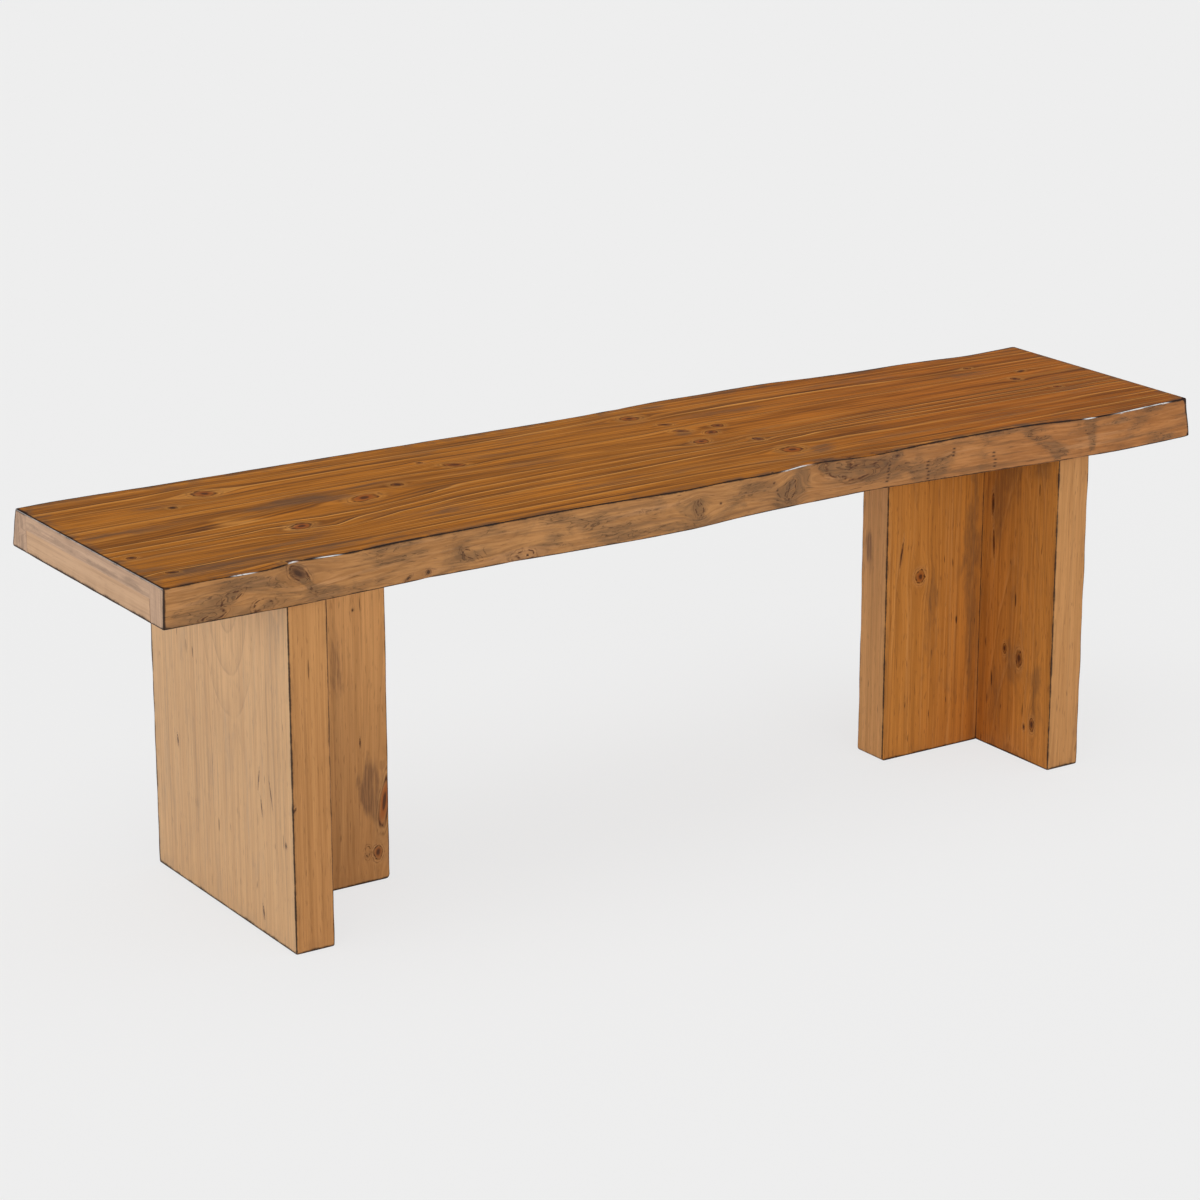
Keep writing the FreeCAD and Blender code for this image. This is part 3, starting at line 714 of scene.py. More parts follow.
# Wavy outlines of the two natural edges: share of half the seat's length, and width in
# millimetres outside the glue line at the top and at the bottom of the slab
FRONT_EDGE = [
    (-1.0, 33.0, 29.7), (-0.9, 32.1, 30.8), (-0.81, 30.4, 32.1), (-0.778, 24.2, 32.3),
    (-0.7, 26.0, 30.4), (-0.62, 22.9, 27.7), (-0.5, 20.7, 24.9), (-0.38, 19.6, 26.4),
    (-0.27, 19.1, 29.9), (-0.16, 23.3, 33.0), (-0.06, 26.2, 32.1), (0.03, 23.3, 25.5),
    (0.1, 24.6, 20.5), (0.205, 16.5, 18.9), (0.29, 25.1, 16.3), (0.39, 21.6, 20.7),
    (0.48, 18.7, 26.0), (0.6, 20.2, 33.4), (0.675, 24.2, 39.4), (0.74, 33.0, 42.5),
    (0.83, 36.3, 44.0), (0.91, 31.7, 42.9), (1.0, 30.4, 38.9),
]
BACK_EDGE = [
    (-1.0, 27.2, 39.4), (-0.94, 30.6, 40.0), (-0.8, 29.0, 40.5), (-0.6, 28.4, 37.8),
    (-0.3, 27.9, 37.6), (0.0, 27.0, 38.7), (0.08, 29.7, 40.5), (0.2, 36.9, 42.8),
    (0.3, 37.8, 44.3), (0.38, 38.9, 45.0), (0.45, 37.8, 43.7), (0.52, 32.4, 41.4),
    (0.6, 27.5, 39.2), (0.7, 25.7, 36.9), (0.8, 22.5, 33.8), (0.87, 16.9, 31.5),
    (0.93, 18.5, 31.5), (1.0, 22.7, 33.3),
]


def flowing(stations, values, x):
    """A smooth curve through the values, without corners (a natural cubic spline)."""
    gaps = np.diff(stations)
    count = len(stations)
    system, right = np.eye(count), np.zeros(count)
    for row in range(1, count - 1):
        system[row, row - 1:row + 2] = gaps[row - 1], 2 * (gaps[row - 1] + gaps[row]), gaps[row]
        slopes = np.diff(values[row - 1:row + 2]) / gaps[row - 1:row + 1]
        right[row] = 6 * (slopes[1] - slopes[0])
    bend = np.linalg.solve(system, right)
    span = np.clip(np.searchsorted(stations, x, side="right") - 1, 0, count - 2)
    gap, a, b = gaps[span], stations[span + 1] - x, x - stations[span]
    return (
        (bend[span] * a ** 3 + bend[span + 1] * b ** 3) / (6 * gap)
        + (values[span] / gap - bend[span] * gap / 6) * a
        + (values[span + 1] / gap - bend[span + 1] * gap / 6) * b)


def edge_width(table, x, height):
    """How far a natural edge stands out of its glue line; height is 0 at the bottom, 1 on top."""
    shares, tops, bottoms = np.array(table).T
    top, bottom = (flowing(shares * SEAT_END, widths, x) for widths in (tops, bottoms))
    return (top * height + bottom * (1 - height)) * MM


def seat_arris(points):
    """Distance from the nearest arris of the whole seat slab. It is cut short where the dark
    line is broad: at the bottom, at both front corners and on the back strip."""
    x, y, z = points.T
    height = (z - SLAB_BOTTOM) / (SEAT_TOP - SLAB_BOTTOM)
    from_front = y - front_joint(x) + edge_width(FRONT_EDGE, x, height)
    away = nearest_arris(
        SEAT_TOP - z, 0.85 * (z - SLAB_BOTTOM), SEAT_END - np.abs(x), from_front,
        BACK_JOINT + edge_width(BACK_EDGE, x, height) - y)
    corner = (SEAT_END - np.abs(x) < 8 * MM) & (from_front < 6.5 * MM)
    away = away * np.where(corner, np.where(x < 0, 0.65, 0.28), 1.0)
    return away * np.where(y > BACK_JOINT, 0.6, 1.0)


def painted_end_glint(points):
    """A painted highlight: a thin pale glint line just under the left end's top arris."""
    x, _, z = points.T / MM
    inwards, down = x + SEAT_END / MM, SEAT_TOP / MM - z
    return 0.6 * (inwards < 0.3) * (np.abs(down - 1.05) < 0.3)


BOARD_ROWS, BOARD_COLUMNS = 472, 97
inner = np.linspace(-SEAT_END + 3 * MM, SEAT_END - 3 * MM, BOARD_ROWS)
along = np.concatenate([[-SEAT_END], inner, [SEAT_END]])
shares = np.linspace(0, 1, BOARD_COLUMNS)
front, back = front_joint(along)[:, None], BACK_JOINT
top_row = front + (back - front) * shares
loops = np.empty((len(along), 2 * len(shares), 2))
loops[:, :len(shares), 0], loops[:, :len(shares), 1] = top_row, SEAT_TOP
loops[:, len(shares):, 0], loops[:, len(shares):, 1] = top_row[:, ::-1], BOARD_BOTTOM
# The ends are eased at the top only: the glued sides and the bottom keep their full length
anchor, reach = (0, BOARD_BOTTOM), (np.inf, SEAT_TOP - BOARD_BOTTOM)
along, loops = eased_ends(along, loops, [anchor] * 2, [reach] * 2, [(ARRIS, ARRIS)] * 2)
seat_board = skin("seat_board_pine", along, loops, 0)
grow(seat_board, 0, slab_rings((0, 30, 300), (0.01, 0.01, 0.0), 5.5), TOP_KNOTS,
     TOP_SMUDGES + END_SMUDGES, seat_arris, slab_bold, ends_upright=False)
finish_wood(seat_board, 0, top_pine)
painted_light_and_tone(seat_board.data, painted_end_glint, to_the_right, nowhere)
stands_for(seat_board, "stained_pine", "seat_board")


# NATURAL EDGES
# Two full-thickness strips of the same pine are dowelled and glued to the board's long sides.
# Their outer faces follow the log: wavy, mottled with glaze, with knots and torn grain, and
# burnished black where the faces meet.

# Rows of points along each strip, and the radius of its worn corner at the right end
EDGE_ROWS = 475
WORN_CORNER = 6 * MM


def natural_edge(name, joint, way, table, seed, tears):
    """A strip from its glue line to its natural edge; way is -1 for the front, 1 for the back."""
    along = np.linspace(-SEAT_END, SEAT_END, EDGE_ROWS)
    thick = SEAT_TOP - SLAB_BOTTOM
    ease = ARRIS * (1.25 + 0.5 * ripples(along, 0, (0.21, 0.083), seed))[:, None]
    glue = np.array([joint(x) for x in along])[:, None]
    glue_rows = np.linspace(0, 1, 4)[None, :-1]
    over = np.array((0, 0.2, 0.4, 0.6, 0.78, 0.9, 1))[None, :]
    turns = np.radians((18, 36, 54, 72))[None, :]
    down = np.array(
        (0, 0.03, 0.07, 0.13, 0.21, 0.3, 0.4, 0.5, 0.6, 0.7, 0.8, 0.88, 0.95, 1))[None, :]

    def width(height):
        tall = np.broadcast_to(height, (len(along), height.shape[-1]))
        flat = edge_width(table, np.repeat(along, tall.shape[1]), tall.ravel())
        hollow = ripples(along[:, None], tall * thick, (0.19, 0.085, 0.046), seed + 1)
        facet = ripples(along[:, None], tall * thick * 0.6, (0.034, 0.017), seed + 2)
        swell = np.sin(np.pi * tall) ** 0.7
        torn = sum(
            depth * np.exp(
                -((along[:, None] - x * MM) / (long * MM)) ** 2 - ((tall - at) / high) ** 2)
            for x, at, long, high, depth in tears)
        uneven = swell * (1.5 * hollow + 0.55 * facet + 0.5) - torn
        return flat.reshape(tall.shape) + uneven * MM

    heights = 1 - (ease + down * (thick - 2 * ease)) / thick
    outer = width(heights)
    top, bottom = outer[:, :1] - 0.15 * ease, outer[:, -1:] - 0.15 * ease
    # How far out and how high: the glued face, the top, its arris, the outer face, the lower
    # arris and the underside
    parts = [
        (glue_rows * 0 * ease, SLAB_BOTTOM + glue_rows * thick + 0 * ease),
        (over * (top - ease), SEAT_TOP + 0 * over * ease),
        (top - ease + 1.15 * ease * np.sin(turns), SEAT_TOP - ease * (1 - np.cos(turns))),
        (outer, SLAB_BOTTOM + heights * thick),
        (bottom - ease + 1.15 * ease * np.cos(turns), SLAB_BOTTOM + ease * (1 - np.sin(turns))),
        ((bottom - ease) * over[:, :0:-1], SLAB_BOTTOM + 0 * over[:, 1:] * ease),
    ]
    out, up = (np.concatenate([part[side] for part in parts], 1) for side in (0, 1))
    loops = np.stack([glue + way * out, up], -1)
    anchor = [(glue[end, 0], SLAB_BOTTOM + thick / 2) for end in (0, -1)]
    reach = [(out[end].max(), thick / 2) for end in (0, -1)]
    radii = [(ARRIS, ARRIS), (WORN_CORNER, ARRIS)]
    return skin(name, *eased_ends(along, loops, anchor, reach, radii), 0)


# Hollows torn out of each edge: x, height share, half length, share of the height, depth
FRONT_TEARS = [
    (-553, 0.95, 9, 0.35, 3.0), (-594, 0.2, 14, 0.25, 1.2), (-388, 0.12, 10, 0.2, 1.6),
    (-277, 0.12, 14, 0.2, 1.2), (128, 0.7, 16, 0.6, 1.6), (300, 0.4, 20, 0.4, 0.8),
    (480, 0.5, 22, 0.5, 0.8), (-640, 0.6, 25, 0.4, 0.9), (170, 0.75, 20, 0.2, 1.0),
]
BACK_TEARS = [(-420, 0.3, 18, 0.3, 1.5), (90, 0.8, 14, 0.4, 1.8), (560, 0.4, 20, 0.4, 1.4)]
# Knots and patches of glaze in the outer faces, as in the top, but with all three places
FRONT_KNOTS = [
    (-594, -184, 413, 12, 7, 8, -0.5), (-632, -185, 426, 15, 5, 28, -0.9),
    (-388, -176, 411, 4, 3.2, 20, 0.05), (-266, -175, 410, 12, 6, 0, -0.3),
    (-1, -171, 427, 1.8, 1.6, 0, 0.1), (-262, -175, 409, 5, 2, 10, 0.1),
    (-542, -180, 428, 14, 4.5, -50, -0.5), (-548, -180, 437, 14, 7.5, -35, 0.12),
    (203, -168, 432, 26, 9, 5, -0.6), (257, -167, 443, 5, 2.6, 0, 0.1),
    (-415, -176, 409, 6, 2, 30, 0.08), (-33, -172, 426, 6, 9, 10, -0.4),
    (104, -168, 424, 6, 12, -25, -0.4), (76, -166, 438, 2.2, 1.6, 30, 0.1),
    (82, -166, 428, 1.8, 1.4, 0, 0.1), (172, -163, 440, 20, 10, -10, -0.35),
    (-335, -174, 422, 12, 4, -30, -0.6), (-652, -186, 410, 14, 5, 15, -0.55),
]
# Columns of short dark ticks that a blade left: x, and the lowest and highest tick
TICKS = [
    (246, 413, 436), (305, 408, 432), (344, 430, 442), (402, 410, 427), (549, 408, 428),
    (560, 409, 438),
]
FRONT_KNOTS += [
    (x + number % 3 - 1, -165, z, 2.7, 1.1, 0, 0.05)
    for x, low, high in TICKS for number, z in enumerate(range(low, high, 4))]
FRONT_SMUDGES = [
    (-640, -185, 430, 34, 10, 12, 1.0), (-585, -184, 434, 30, 8, -10, 0.6),
    (-550, -178, 440, 8, 7, -50, 1.7), (-540, -178, 428, 13, 4, -45, 1.4),
    (-660, -186, 412, 26, 7, 10, 0.8), (-600, -184, 410, 34, 7, 8, 0.7),
    (-415, -175, 446, 30, 3, 0, 0.9), (-350, -174, 425, 20, 10, 30, 0.7),
    (-205, -176, 440, 34, 7, -12, 0.6), (-130, -180, 420, 36, 8, 8, 0.5),
    (-60, -178, 430, 34, 9, 0, 0.55), (-40, -178, 408, 30, 5, 0, 0.8),
    (20, -172, 424, 26, 9, 20, 0.6), (60, -168, 436, 36, 8, -10, 0.7),
    (105, -163, 420, 26, 14, 60, 0.9), (124, -160, 436, 10, 18, 0, 0.7),
    (165, -160, 440, 26, 8, -20, 0.9), (235, -160, 434, 22, 10, 30, 0.8),
    (262, -160, 425, 16, 10, 0, 0.7), (290, -160, 415, 10, 14, 0, 0.9),
    (313, -160, 412, 10, 10, 0, 0.6), (340, -160, 430, 14, 8, 0, 0.5),
    (385, -162, 420, 12, 12, 0, 0.6), (462, -165, 438, 26, 6, -38, 0.8),
    (488, -168, 424, 16, 7, -58, 1.1), (498, -168, 412, 9, 9, 0, 1.2),
    (546, -170, 420, 5, 22, 0, 0.9), (-522, -179, 413, 16, 5, 8, 1.2),
    (620, -176, 430, 40, 9, 25, 0.6), (-331, -176, 419, 20, 6, 20, 0.7),
    (-231, -174, 420, 22, 7, 20, 0.5), (-147, -173, 410, 28, 4, 0, 1.0),
    (-66, -172, 412, 44, 5, 0, 1.0), (-36, -172, 428, 14, 9, 0, 0.6),
    (89, -170, 416, 14, 8, 0, 0.7), (178, -168, 438, 16, 5, 0, 1.0),
    (212, -168, 432, 24, 3, 8, 1.0), (-420, -176, 434, 40, 4, 4, 0.7),
    (-455, -177, 444, 22, 4, 0, 0.6), (-300, -175, 440, 30, 5, -8, 0.8),
    (-180, -174, 432, 22, 8, 12, 0.6), (257, -167, 442, 10, 5, 0, 1.0),
    (286, -167, 424, 14, 5, -12, 0.8), (325, -166, 421, 8, 9, 0, 0.8),
    (-686, -182, 420, 22, 8, 10, 0.9), (655, -178, 412, 26, 6, 0, 0.9),
    (590, -176, 440, 30, 6, 15, 0.45), (-480, -176, 412, 60, 5, 0, 0.4),
]
BACK_SMUDGES = on_face(0, -710, [(157, 427, 26, 2.4, 0, 2.2), (166, 430, 22, 1.5, 0, 1.2)])
edge_pine = pine(
    "stained_pine_natural_edge", pale=(0.458, 0.217, 0.073), deep=(0.292, 0.127, 0.039),
    honey=(0.51, 0.258, 0.112), umber=(0.140, 0.066, 0.028), smoke=(0.116, 0.066, 0.034),
    line=0.2, fibre=0.75, short=2.6, streaks=0.5, glow=0.42, pores=0.45, glaze=0.47,
    glaze_share=0.60, stretch=2.2, torn=0.55, checks=0.7, collar=0.1, arris_width=1.35,
    rough=0.5, relief=0.35, seed=7.0)
# Each strip's side, glue line, way out, outline, hollows, knots, patches of glaze and pith
EDGES = [
    ("front", front_joint, -1, FRONT_EDGE, FRONT_TEARS, FRONT_KNOTS + TOP_KNOTS,
     FRONT_SMUDGES + TOP_SMUDGES, (0, -120, 330)),
    ("back", lambda x: BACK_JOINT, 1, BACK_EDGE, BACK_TEARS, TOP_KNOTS,
     BACK_SMUDGES + TOP_SMUDGES, (0, 110, 340)),
]
# Where a painted highlight, a thin white glint line, runs along the front top arris: x and
# half length
GLINT_PLACES = [(-616, 12), (-553, 5), (-511, 13), (112, 20), (545, 8), (618, 30), (664, 14)]


def painted_front_glint(points):
    """A painted highlight: a thin white glint line just under the front top arris in places,
    and the left end's glint line as well.
    """
    x, y, z = points.T / MM
    glint_mask = sum(np.exp(-((x - middle) / half) ** 4) for middle, half in GLINT_PLACES)
    down = SEAT_TOP / MM - z
    return glint_mask * (y < -140) * (down > 0.2) * (down < 1.2) + painted_end_glint(points)


for number, (side, joint, way, table, tears, knots, smudges, pith) in enumerate(EDGES):
    edge = natural_edge(side + "_natural_edge", joint, way, table, 20 + 5 * number, tears)
    painted_light_and_tone(edge.data, painted_front_glint, to_the_right, nowhere)
    grow(edge, 0, slab_rings(pith, (0.02, 0.03, 0.04), 6.5), knots, smudges, seat_arris, slab_bold)
    finish_wood(edge, 0, edge_pine)
    edge.data.materials.append(top_pine)
    polygons = edge.data.polygons
    index = read(polygons, "material_index", kind=int)
    index[on_top(read(polygons, "center", 3), read(polygons, "normal", 3))] = 2
    polygons.foreach_set("material_index", index)
    stands_for(edge, "stained_pine", side + "_live_edge")


# EDGE DOWELS
# Beech dowels, 8 mm thick and six to a strip, are glued half into the board and half into the
# strip. They are hidden, so they keep their CAD meshes and get a better material.

def beech(name, scales):
    """Beech whose streaks run in the direction with the small scale."""
    material, nodes, shader = new_material(name)
    streaks = nodes.grain(nodes.place(), scales, 3.0)
    colour = nodes.mix(streaks, (0.46, 0.27, 0.14, 1), (0.66, 0.45, 0.27, 1))
    nodes.link(colour, shader["Base Color"])
    nodes.link(nodes.bump(0.2, 0.3 * MM, streaks), shader["Normal"])
    nodes.link(nodes.rise(streaks, 0.2, 0.8, 0.5, 0.65), shader["Roughness"])
    return material


def refinish(material, *names):
    """Give CAD pieces that stay as they are a finished material."""
    for name in names:
        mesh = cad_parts[name].data
        mesh.materials.clear()
        mesh.materials.append(material)


refinish(beech("beech_across", (900, 60, 900)), "front_edge_dowels", "back_edge_dowels")


# RAILS
# Cleats under both ends and a batten under the middle keep the board flat. They are plain
# sawn pine with the grain across the seat, screwed up into the board between the strips.

def sawn_piece(name, axis, low, high, step, eased, ends, hold, seed):
    """A sawn board between two corners.

    eased   the radii of its four long arrises, in turn from the corner low, low
    ends    the radii of the arrises round its two ends, one for both directions or one each
    hold    where the point lies that its ends shrink towards, as shares of the way from low to
            high: on the glued face if there is one
    """
    low, high = np.array(low) * MM, np.array(high) * MM
    across = [other for other in range(3) if other != axis]
    (a0, b0), (a1, b1) = low[across], high[across]
    along = spread(low[axis], high[axis], step * MM)
    uneven = 1 + 0.45 * ripples(along, 0, (0.11, 0.047), seed)
    first, second = spread(a0, a1, step * MM), spread(b0, b1, step * MM)
    sides = [
        ([(a, b0) for a in first], 0), ([(a1, b) for b in second], 1),
        ([(a, b1) for a in first[::-1]], 2), ([(a0, b) for b in second[::-1]], 3),
    ]
    loops = []
    for factor in uneven:
        loop = []
        for points, corner in sides:
            start, stop = np.array(points[0]), np.array(points[-1])
            way = (stop - start) / np.linalg.norm(stop - start)
            radius = [eased[corner] * factor * MM, eased[(corner + 1) % 4] * factor * MM]
            far = np.array([np.dot(np.array(point) - start, way) for point in points])
            far = np.interp(far, (0, far[-1]), (radius[0], far[-1] - radius[1]))
            loop += [start + way * distance for distance in far]
            if radius[1] > 0:
                inwards = np.array((-way[1], way[0]))
                for turn in np.radians((22, 45, 68)):
                    bend = stop - way * radius[1] * (1 - math.sin(turn))
                    loop.append(bend + inwards * radius[1] * (1 - math.cos(turn)))
        loops.append(loop)
    count = min(len(loop) for loop in loops)
    loops = np.array([loop[:count] for loop in loops])
    hold = np.array(hold)[across]
    anchor = np.array((a0, b0)) + hold * np.array((a1 - a0, b1 - b0))
    reach = np.maximum(hold, 1 - hold) * np.array((a1 - a0, b1 - b0))
    radii = [np.maximum(end, 0.15) * MM * np.ones(2) for end in ends]
    return skin(name, *eased_ends(along, loops, [anchor] * 2, [reach] * 2, radii), axis)


def box_arris(low, high, free):
    """Distance from the arrises of a board. Free names the faces, such as -x, whose arrises are
    darkened, and how narrow the dark line is on their neighbours. The foot always has one."""
    def distance(points):
        clear = []
        for (sign, letter), narrow in free.items():
            part = "xyz".index(letter)
            place = points[:, part]
            away = place - low[part] * MM if sign == "-" else high[part] * MM - place
            clear.append(narrow * away)
        foot = 0.55 * (points[:, 2] - low[2] * MM)
        return nearest_arris(foot, *clear)
    return distance


rail_pine = pine(
    "stained_pine_rails", pale=(0.56, 0.345, 0.200), deep=(0.45, 0.270, 0.150),
    honey=(0.60, 0.38, 0.22), umber=(0.31, 0.180, 0.100), line=0.3, fibre=0.6, glaze=0.1,
    glaze_share=0.4, rough=0.52, seed=11.0)
RAILS = [
    "left_end_cleat", "left_leg_cleat", "middle_batten", "right_leg_cleat", "right_end_cleat"]
# Each rail is cut square, and at its narrow end it stands this far clear of the front strip
RAIL_GAP = 0.2
for number, name in enumerate(RAILS):
    low, high = cad_corners(name)
    low[1] = front_joint(high[0] * MM) / MM + RAIL_GAP
    piece = sawn_piece(
        name + "_pine", 1, low, high, 7, (1.2, 1.2, 0, 0), (0, 0), (0.5, 0.5, 1), 40 + number)
    rings = rings_about((low[0] + 20, 0, 380 - 30 * number), (0.02, 0, 0.05), 5, 1)
    grow(piece, 1, rings, arris=box_arris(low, high, {"-x": 1, "+x": 1}))
    finish_wood(piece, 1, rail_pine)
    stands_for(piece, "rail_pine", name)


# LEGS
# Each leg is a T of two pine boards with upright grain: a wide crossbar faces the end of the
# seat, and a narrow web, dowelled and glued square to its back, braces it from inside.

leg_pine = pine(
    "stained_pine_legs", pale=(0.485, 0.228, 0.076), deep=(0.315, 0.135, 0.038),
    honey=(0.55, 0.28, 0.10), umber=(0.16, 0.066, 0.022), line=0.35, fibre=0.55, streaks=0.2,
    fineness=1.4, glaze_share=0.72, pores=0.35, checks=0.7, arris_width=1.5, rough=0.42,
    seed=17.0)
# A lit copy of the leg stain for the left crossbar's outer face: paler and greyer, painted sheen
sheen_lit_pine = pine(
    "stained_pine_painted_sheen", pale=(0.612, 0.367, 0.177), deep=(0.47, 0.270, 0.130),
    honey=(0.62, 0.38, 0.20), umber=(0.25, 0.155, 0.088), smoke=(0.27, 0.20, 0.145), line=0.4,
    fibre=0.7, glow=0.42, fineness=1.7, finer_lines=1.0, wander=0.3, pores=0.35, glaze=0.5,
    stretch=5.0, checks=0.6, collar=0.1, arris_width=1.8, rough=0.42, seed=23.0)
# A shaded copy of the leg stain for the right leg's faces under the seat: darker and more
# saturated, painted shade
shaded_pine = pine(
    "stained_pine_painted_shade", pale=(0.535, 0.212, 0.041), deep=(0.325, 0.118, 0.020),
    honey=(0.62, 0.29, 0.090), umber=(0.14, 0.050, 0.016), smoke=(0.125, 0.064, 0.032), line=0.4,
    fibre=0.6, streaks=0.25, fineness=1.4, pores=0.45, glaze=0.42, stretch=2.5, checks=0.9,
    arris_width=1.4, rough=0.42, shine=0.1, seed=29.0)


def arched(points, normals, u, bent):
    """Soft arches of grain show only in the middle of the left crossbar."""
    across, up = (points[:, 1] / MM + 25) / 75, (points[:, 2] / MM - 310) / 100
    return 0.8 * np.exp(-across ** 4 - up ** 4)


LEFT_BAR_KNOTS = on_face(0, -555, [
    (105, 169, 7, 2, 8, 0.1), (-89, 181, 12, 1.3, -10, 0.1), (-94, 150, 10, 1.4, 8, 0.1),
    (-148, 122, 3.5, 2.6, 0, 0.1), (-116, 172, 16, 1.1, 12, 0.1), (-92, 26, 8, 2, 10, 0.1),
]) + [(-552, -165.5, 168, 3, 1.5, 30, 0.1)]
LEFT_WEB_KNOTS = on_face(1, -25.5, [
    (-372, 35, 8.5, 6.5, 0, 0.6), (-385, 38, 7, 4, 0, -0.3), (-362, 94, 32, 7, 8, 0.95),
    (-392, 172, 6, 1.2, 0, 0.1), (-398, 330, 2, 1.6, 0, 0.1),
])
LEFT_WEB_SMUDGES = on_face(1, -25.5, [
    (-376, 122, 30, 11, -12, 1.2), (-392, 112, 26, 4, -14, 1.3), (-374, 84, 22, 6, -18, 1.0),
    (-430, 260, 50, 18, 0, 0.6),
])
RIGHT_BAR_KNOTS = on_face(0, 507, [
    (-104, 130, 11, 6.5, 0, 0.3), (-76, 136, 7, 4, 0, 0.2), (-133, 51, 9, 5, 0, 0.2),
    (-118, 44, 4, 2.5, 0, 0.15), (-44, 318, 14, 2.5, 0, 0.1), (-48, 268, 18, 2, 4, 0.1),
])
# The two patches at the top, just under the seat, are partly glaze and partly painted shadow of
# the seat
RIGHT_BAR_SMUDGES = on_face(0, 507, [
    (-50, 296, 45, 12, 0, 1.0), (-140, 120, 60, 10, 0, 0.7), (-60, 80, 60, 14, 0, 0.5),
    (-70, 385, 60, 28, 0, 0.8), (-135, 392, 30, 26, 0, 0.7), (-86, 250, 150, 1.8, 0, 2.2),
    (-96, 140, 34, 16, 0, 0.6),
])
RIGHT_WEB_KNOTS = on_face(1, -25.5, [
    (409, 234, 8.5, 7.5, 0, 0.7), (379, 268, 16, 1.6, 8, 0.1),
])
RIGHT_WEB_SMUDGES = on_face(1, -25.5, [
    (492, 210, 170, 12, 0, 0.9), (430, 200, 50, 12, 0, 0.5),
]) + [(356, 12, 274, 22, 7, 0, 1.2)]


def painted_light_at_top(points):
    """Painted light and sheen: paler and greyer towards the top, where the seat shades the legs;
    the web most, the crossbar's outer face least.
    """
    x, _, z = points.T / MM
    height = np.interp(z, (220, 400), (0, 1))
    web = np.interp(z, (60, 220, 400), (0, 0.45, 1))
    return np.where(x > -506.5, web, np.where(x < -554, 0.28, 0.33) * height)


def front_edge(points):
    """Paler on the right crossbar's front edge, and a little on its inner face."""
    return np.where(points[:, 1] < -160 * MM, 0.17, 0.1 * (points[:, 0] < 507.5 * MM))


def painted_sheen_at_web_end(points):
    """Painted sheen: paler on the right web's free end, which faces the left lamps."""
    return 0.52 * (points[:, 0] < 357.5 * MM)


def painted_corner_shade(points):
    """Painted shade: the stain turns darker and redder into the right leg's corner, most low down.
    """
    x, y, z = points.T / MM
    from_corner = np.hypot(x - 507, y + 25.5)
    return np.interp(from_corner, (0, 110), (1, 0)) * np.interp(z, (0, 280), (1, 0.2))


# Each board's name, long arrises, foot's arrises, point that its ends shrink towards, darkened
# faces, rings (pith, lean and spacing), boldness of the growth lines if it varies, knots,
# patches of glaze, parts paled by painted light and sheen, and faces that take a copy of the
# stain with painted sheen on the left leg and painted shade on the right
LEGS = [
    ("left_leg_crossbar", (2, 2, 2, 2), 2, (0.5, 0.5, 0.5),
     {"-x": 1, "+x": 1, "-y": 1.2, "+y": 0.55},
     ((-555, -25, 420), (0.42, 0, 0), 19), arched, LEFT_BAR_KNOTS, [], painted_light_at_top,
     {"-x": sheen_lit_pine}),
    ("left_leg_web", (0, 2, 2, 0), (5, 2), (0, 0.5, 0.5),
     {"-x": 1.3, "+x": 1, "-y": 1, "+y": 1},
     ((-430, 90, 200), (0.08, 0, 0), 8), None, LEFT_WEB_KNOTS, LEFT_WEB_SMUDGES,
     painted_light_at_top, {}),
    ("right_leg_crossbar", (2, 2, 2, 2), 2, (0.5, 0.5, 0.5),
     {"-x": 1, "+x": 1, "-y": 1, "+y": 1},
     ((590, -95, 200), (0.08, 0, 0), 9), None, RIGHT_BAR_KNOTS, RIGHT_BAR_SMUDGES,
     front_edge, {"-x": shaded_pine}),
    ("right_leg_web", (2, 0, 0, 2), (5, 2), (1, 0.5, 0.5),
     {"-x": 1, "+x": 1.3, "-y": 1, "+y": 1},
     ((430, 120, 200), (0.03, 0, 0), 8), None, RIGHT_WEB_KNOTS, RIGHT_WEB_SMUDGES,
     painted_sheen_at_web_end, {"-y": shaded_pine}),
]
for number, leg in enumerate(LEGS):
    name, eased, foot, hold, free, rings, bold, knots, smudges, paler, faces = leg
    low, high = cad_corners(name)
    piece = sawn_piece(name + "_pine", 2, low, high, 6, eased, (foot, 0), hold, 50 + number)
    arris = box_arris(low, high, free)
    grow(piece, 2, rings_about(*rings, 2), knots, smudges, arris, bold)
    painted_light_and_tone(piece.data, nowhere, painted_corner_shade, paler)
    finish_wood(piece, 2, leg_pine, faces=faces)
    stands_for(piece, "stained_pine", name)


# LEG JOINTS
# Beech dowels cross the glue line between each crossbar and its web, and zinc-plated screws
# run down through the leg cleat into the end grain of both. They are hidden.

def plated(name, pale, deep, rough):
    """Plated metal: slightly cloudy, with fine turning marks round each piece."""
    material, nodes, shader = new_material(name)
    place = nodes.place()
    cloud = nodes.noise(place, 160.0, 3.0)
    rings = nodes.grain(place, (150, 150, 5000), 2.0)
    colour = nodes.mix(nodes.rise(cloud, 0.35, 0.65), (*pale, 1), (*deep, 1))
    nodes.link(colour, shader["Base Color"])
    nodes.link(nodes.bump(0.15, 0.1 * MM, rings), shader["Normal"])
    nodes.link(nodes.rise(cloud, 0.2, 0.8, rough - 0.05, rough + 0.1), shader["Roughness"])
    shader["Metallic"].default_value = 1.0
    return material


zinc_plate = plated("zinc_plate", (0.62, 0.63, 0.64), (0.46, 0.47, 0.49), 0.34)
brass = plated("turned_brass", (0.72, 0.52, 0.22), (0.58, 0.40, 0.15), 0.28)
refinish(beech("beech_lengthways", (60, 900, 900)), "left_leg_dowels", "right_leg_dowels")
refinish(
    zinc_plate, "left_crossbar_screws", "right_crossbar_screws", "left_web_screws",
    "right_web_screws", "left_bolt_washers", "right_bolt_washers")
refinish(brass, "left_threaded_inserts", "right_threaded_inserts")


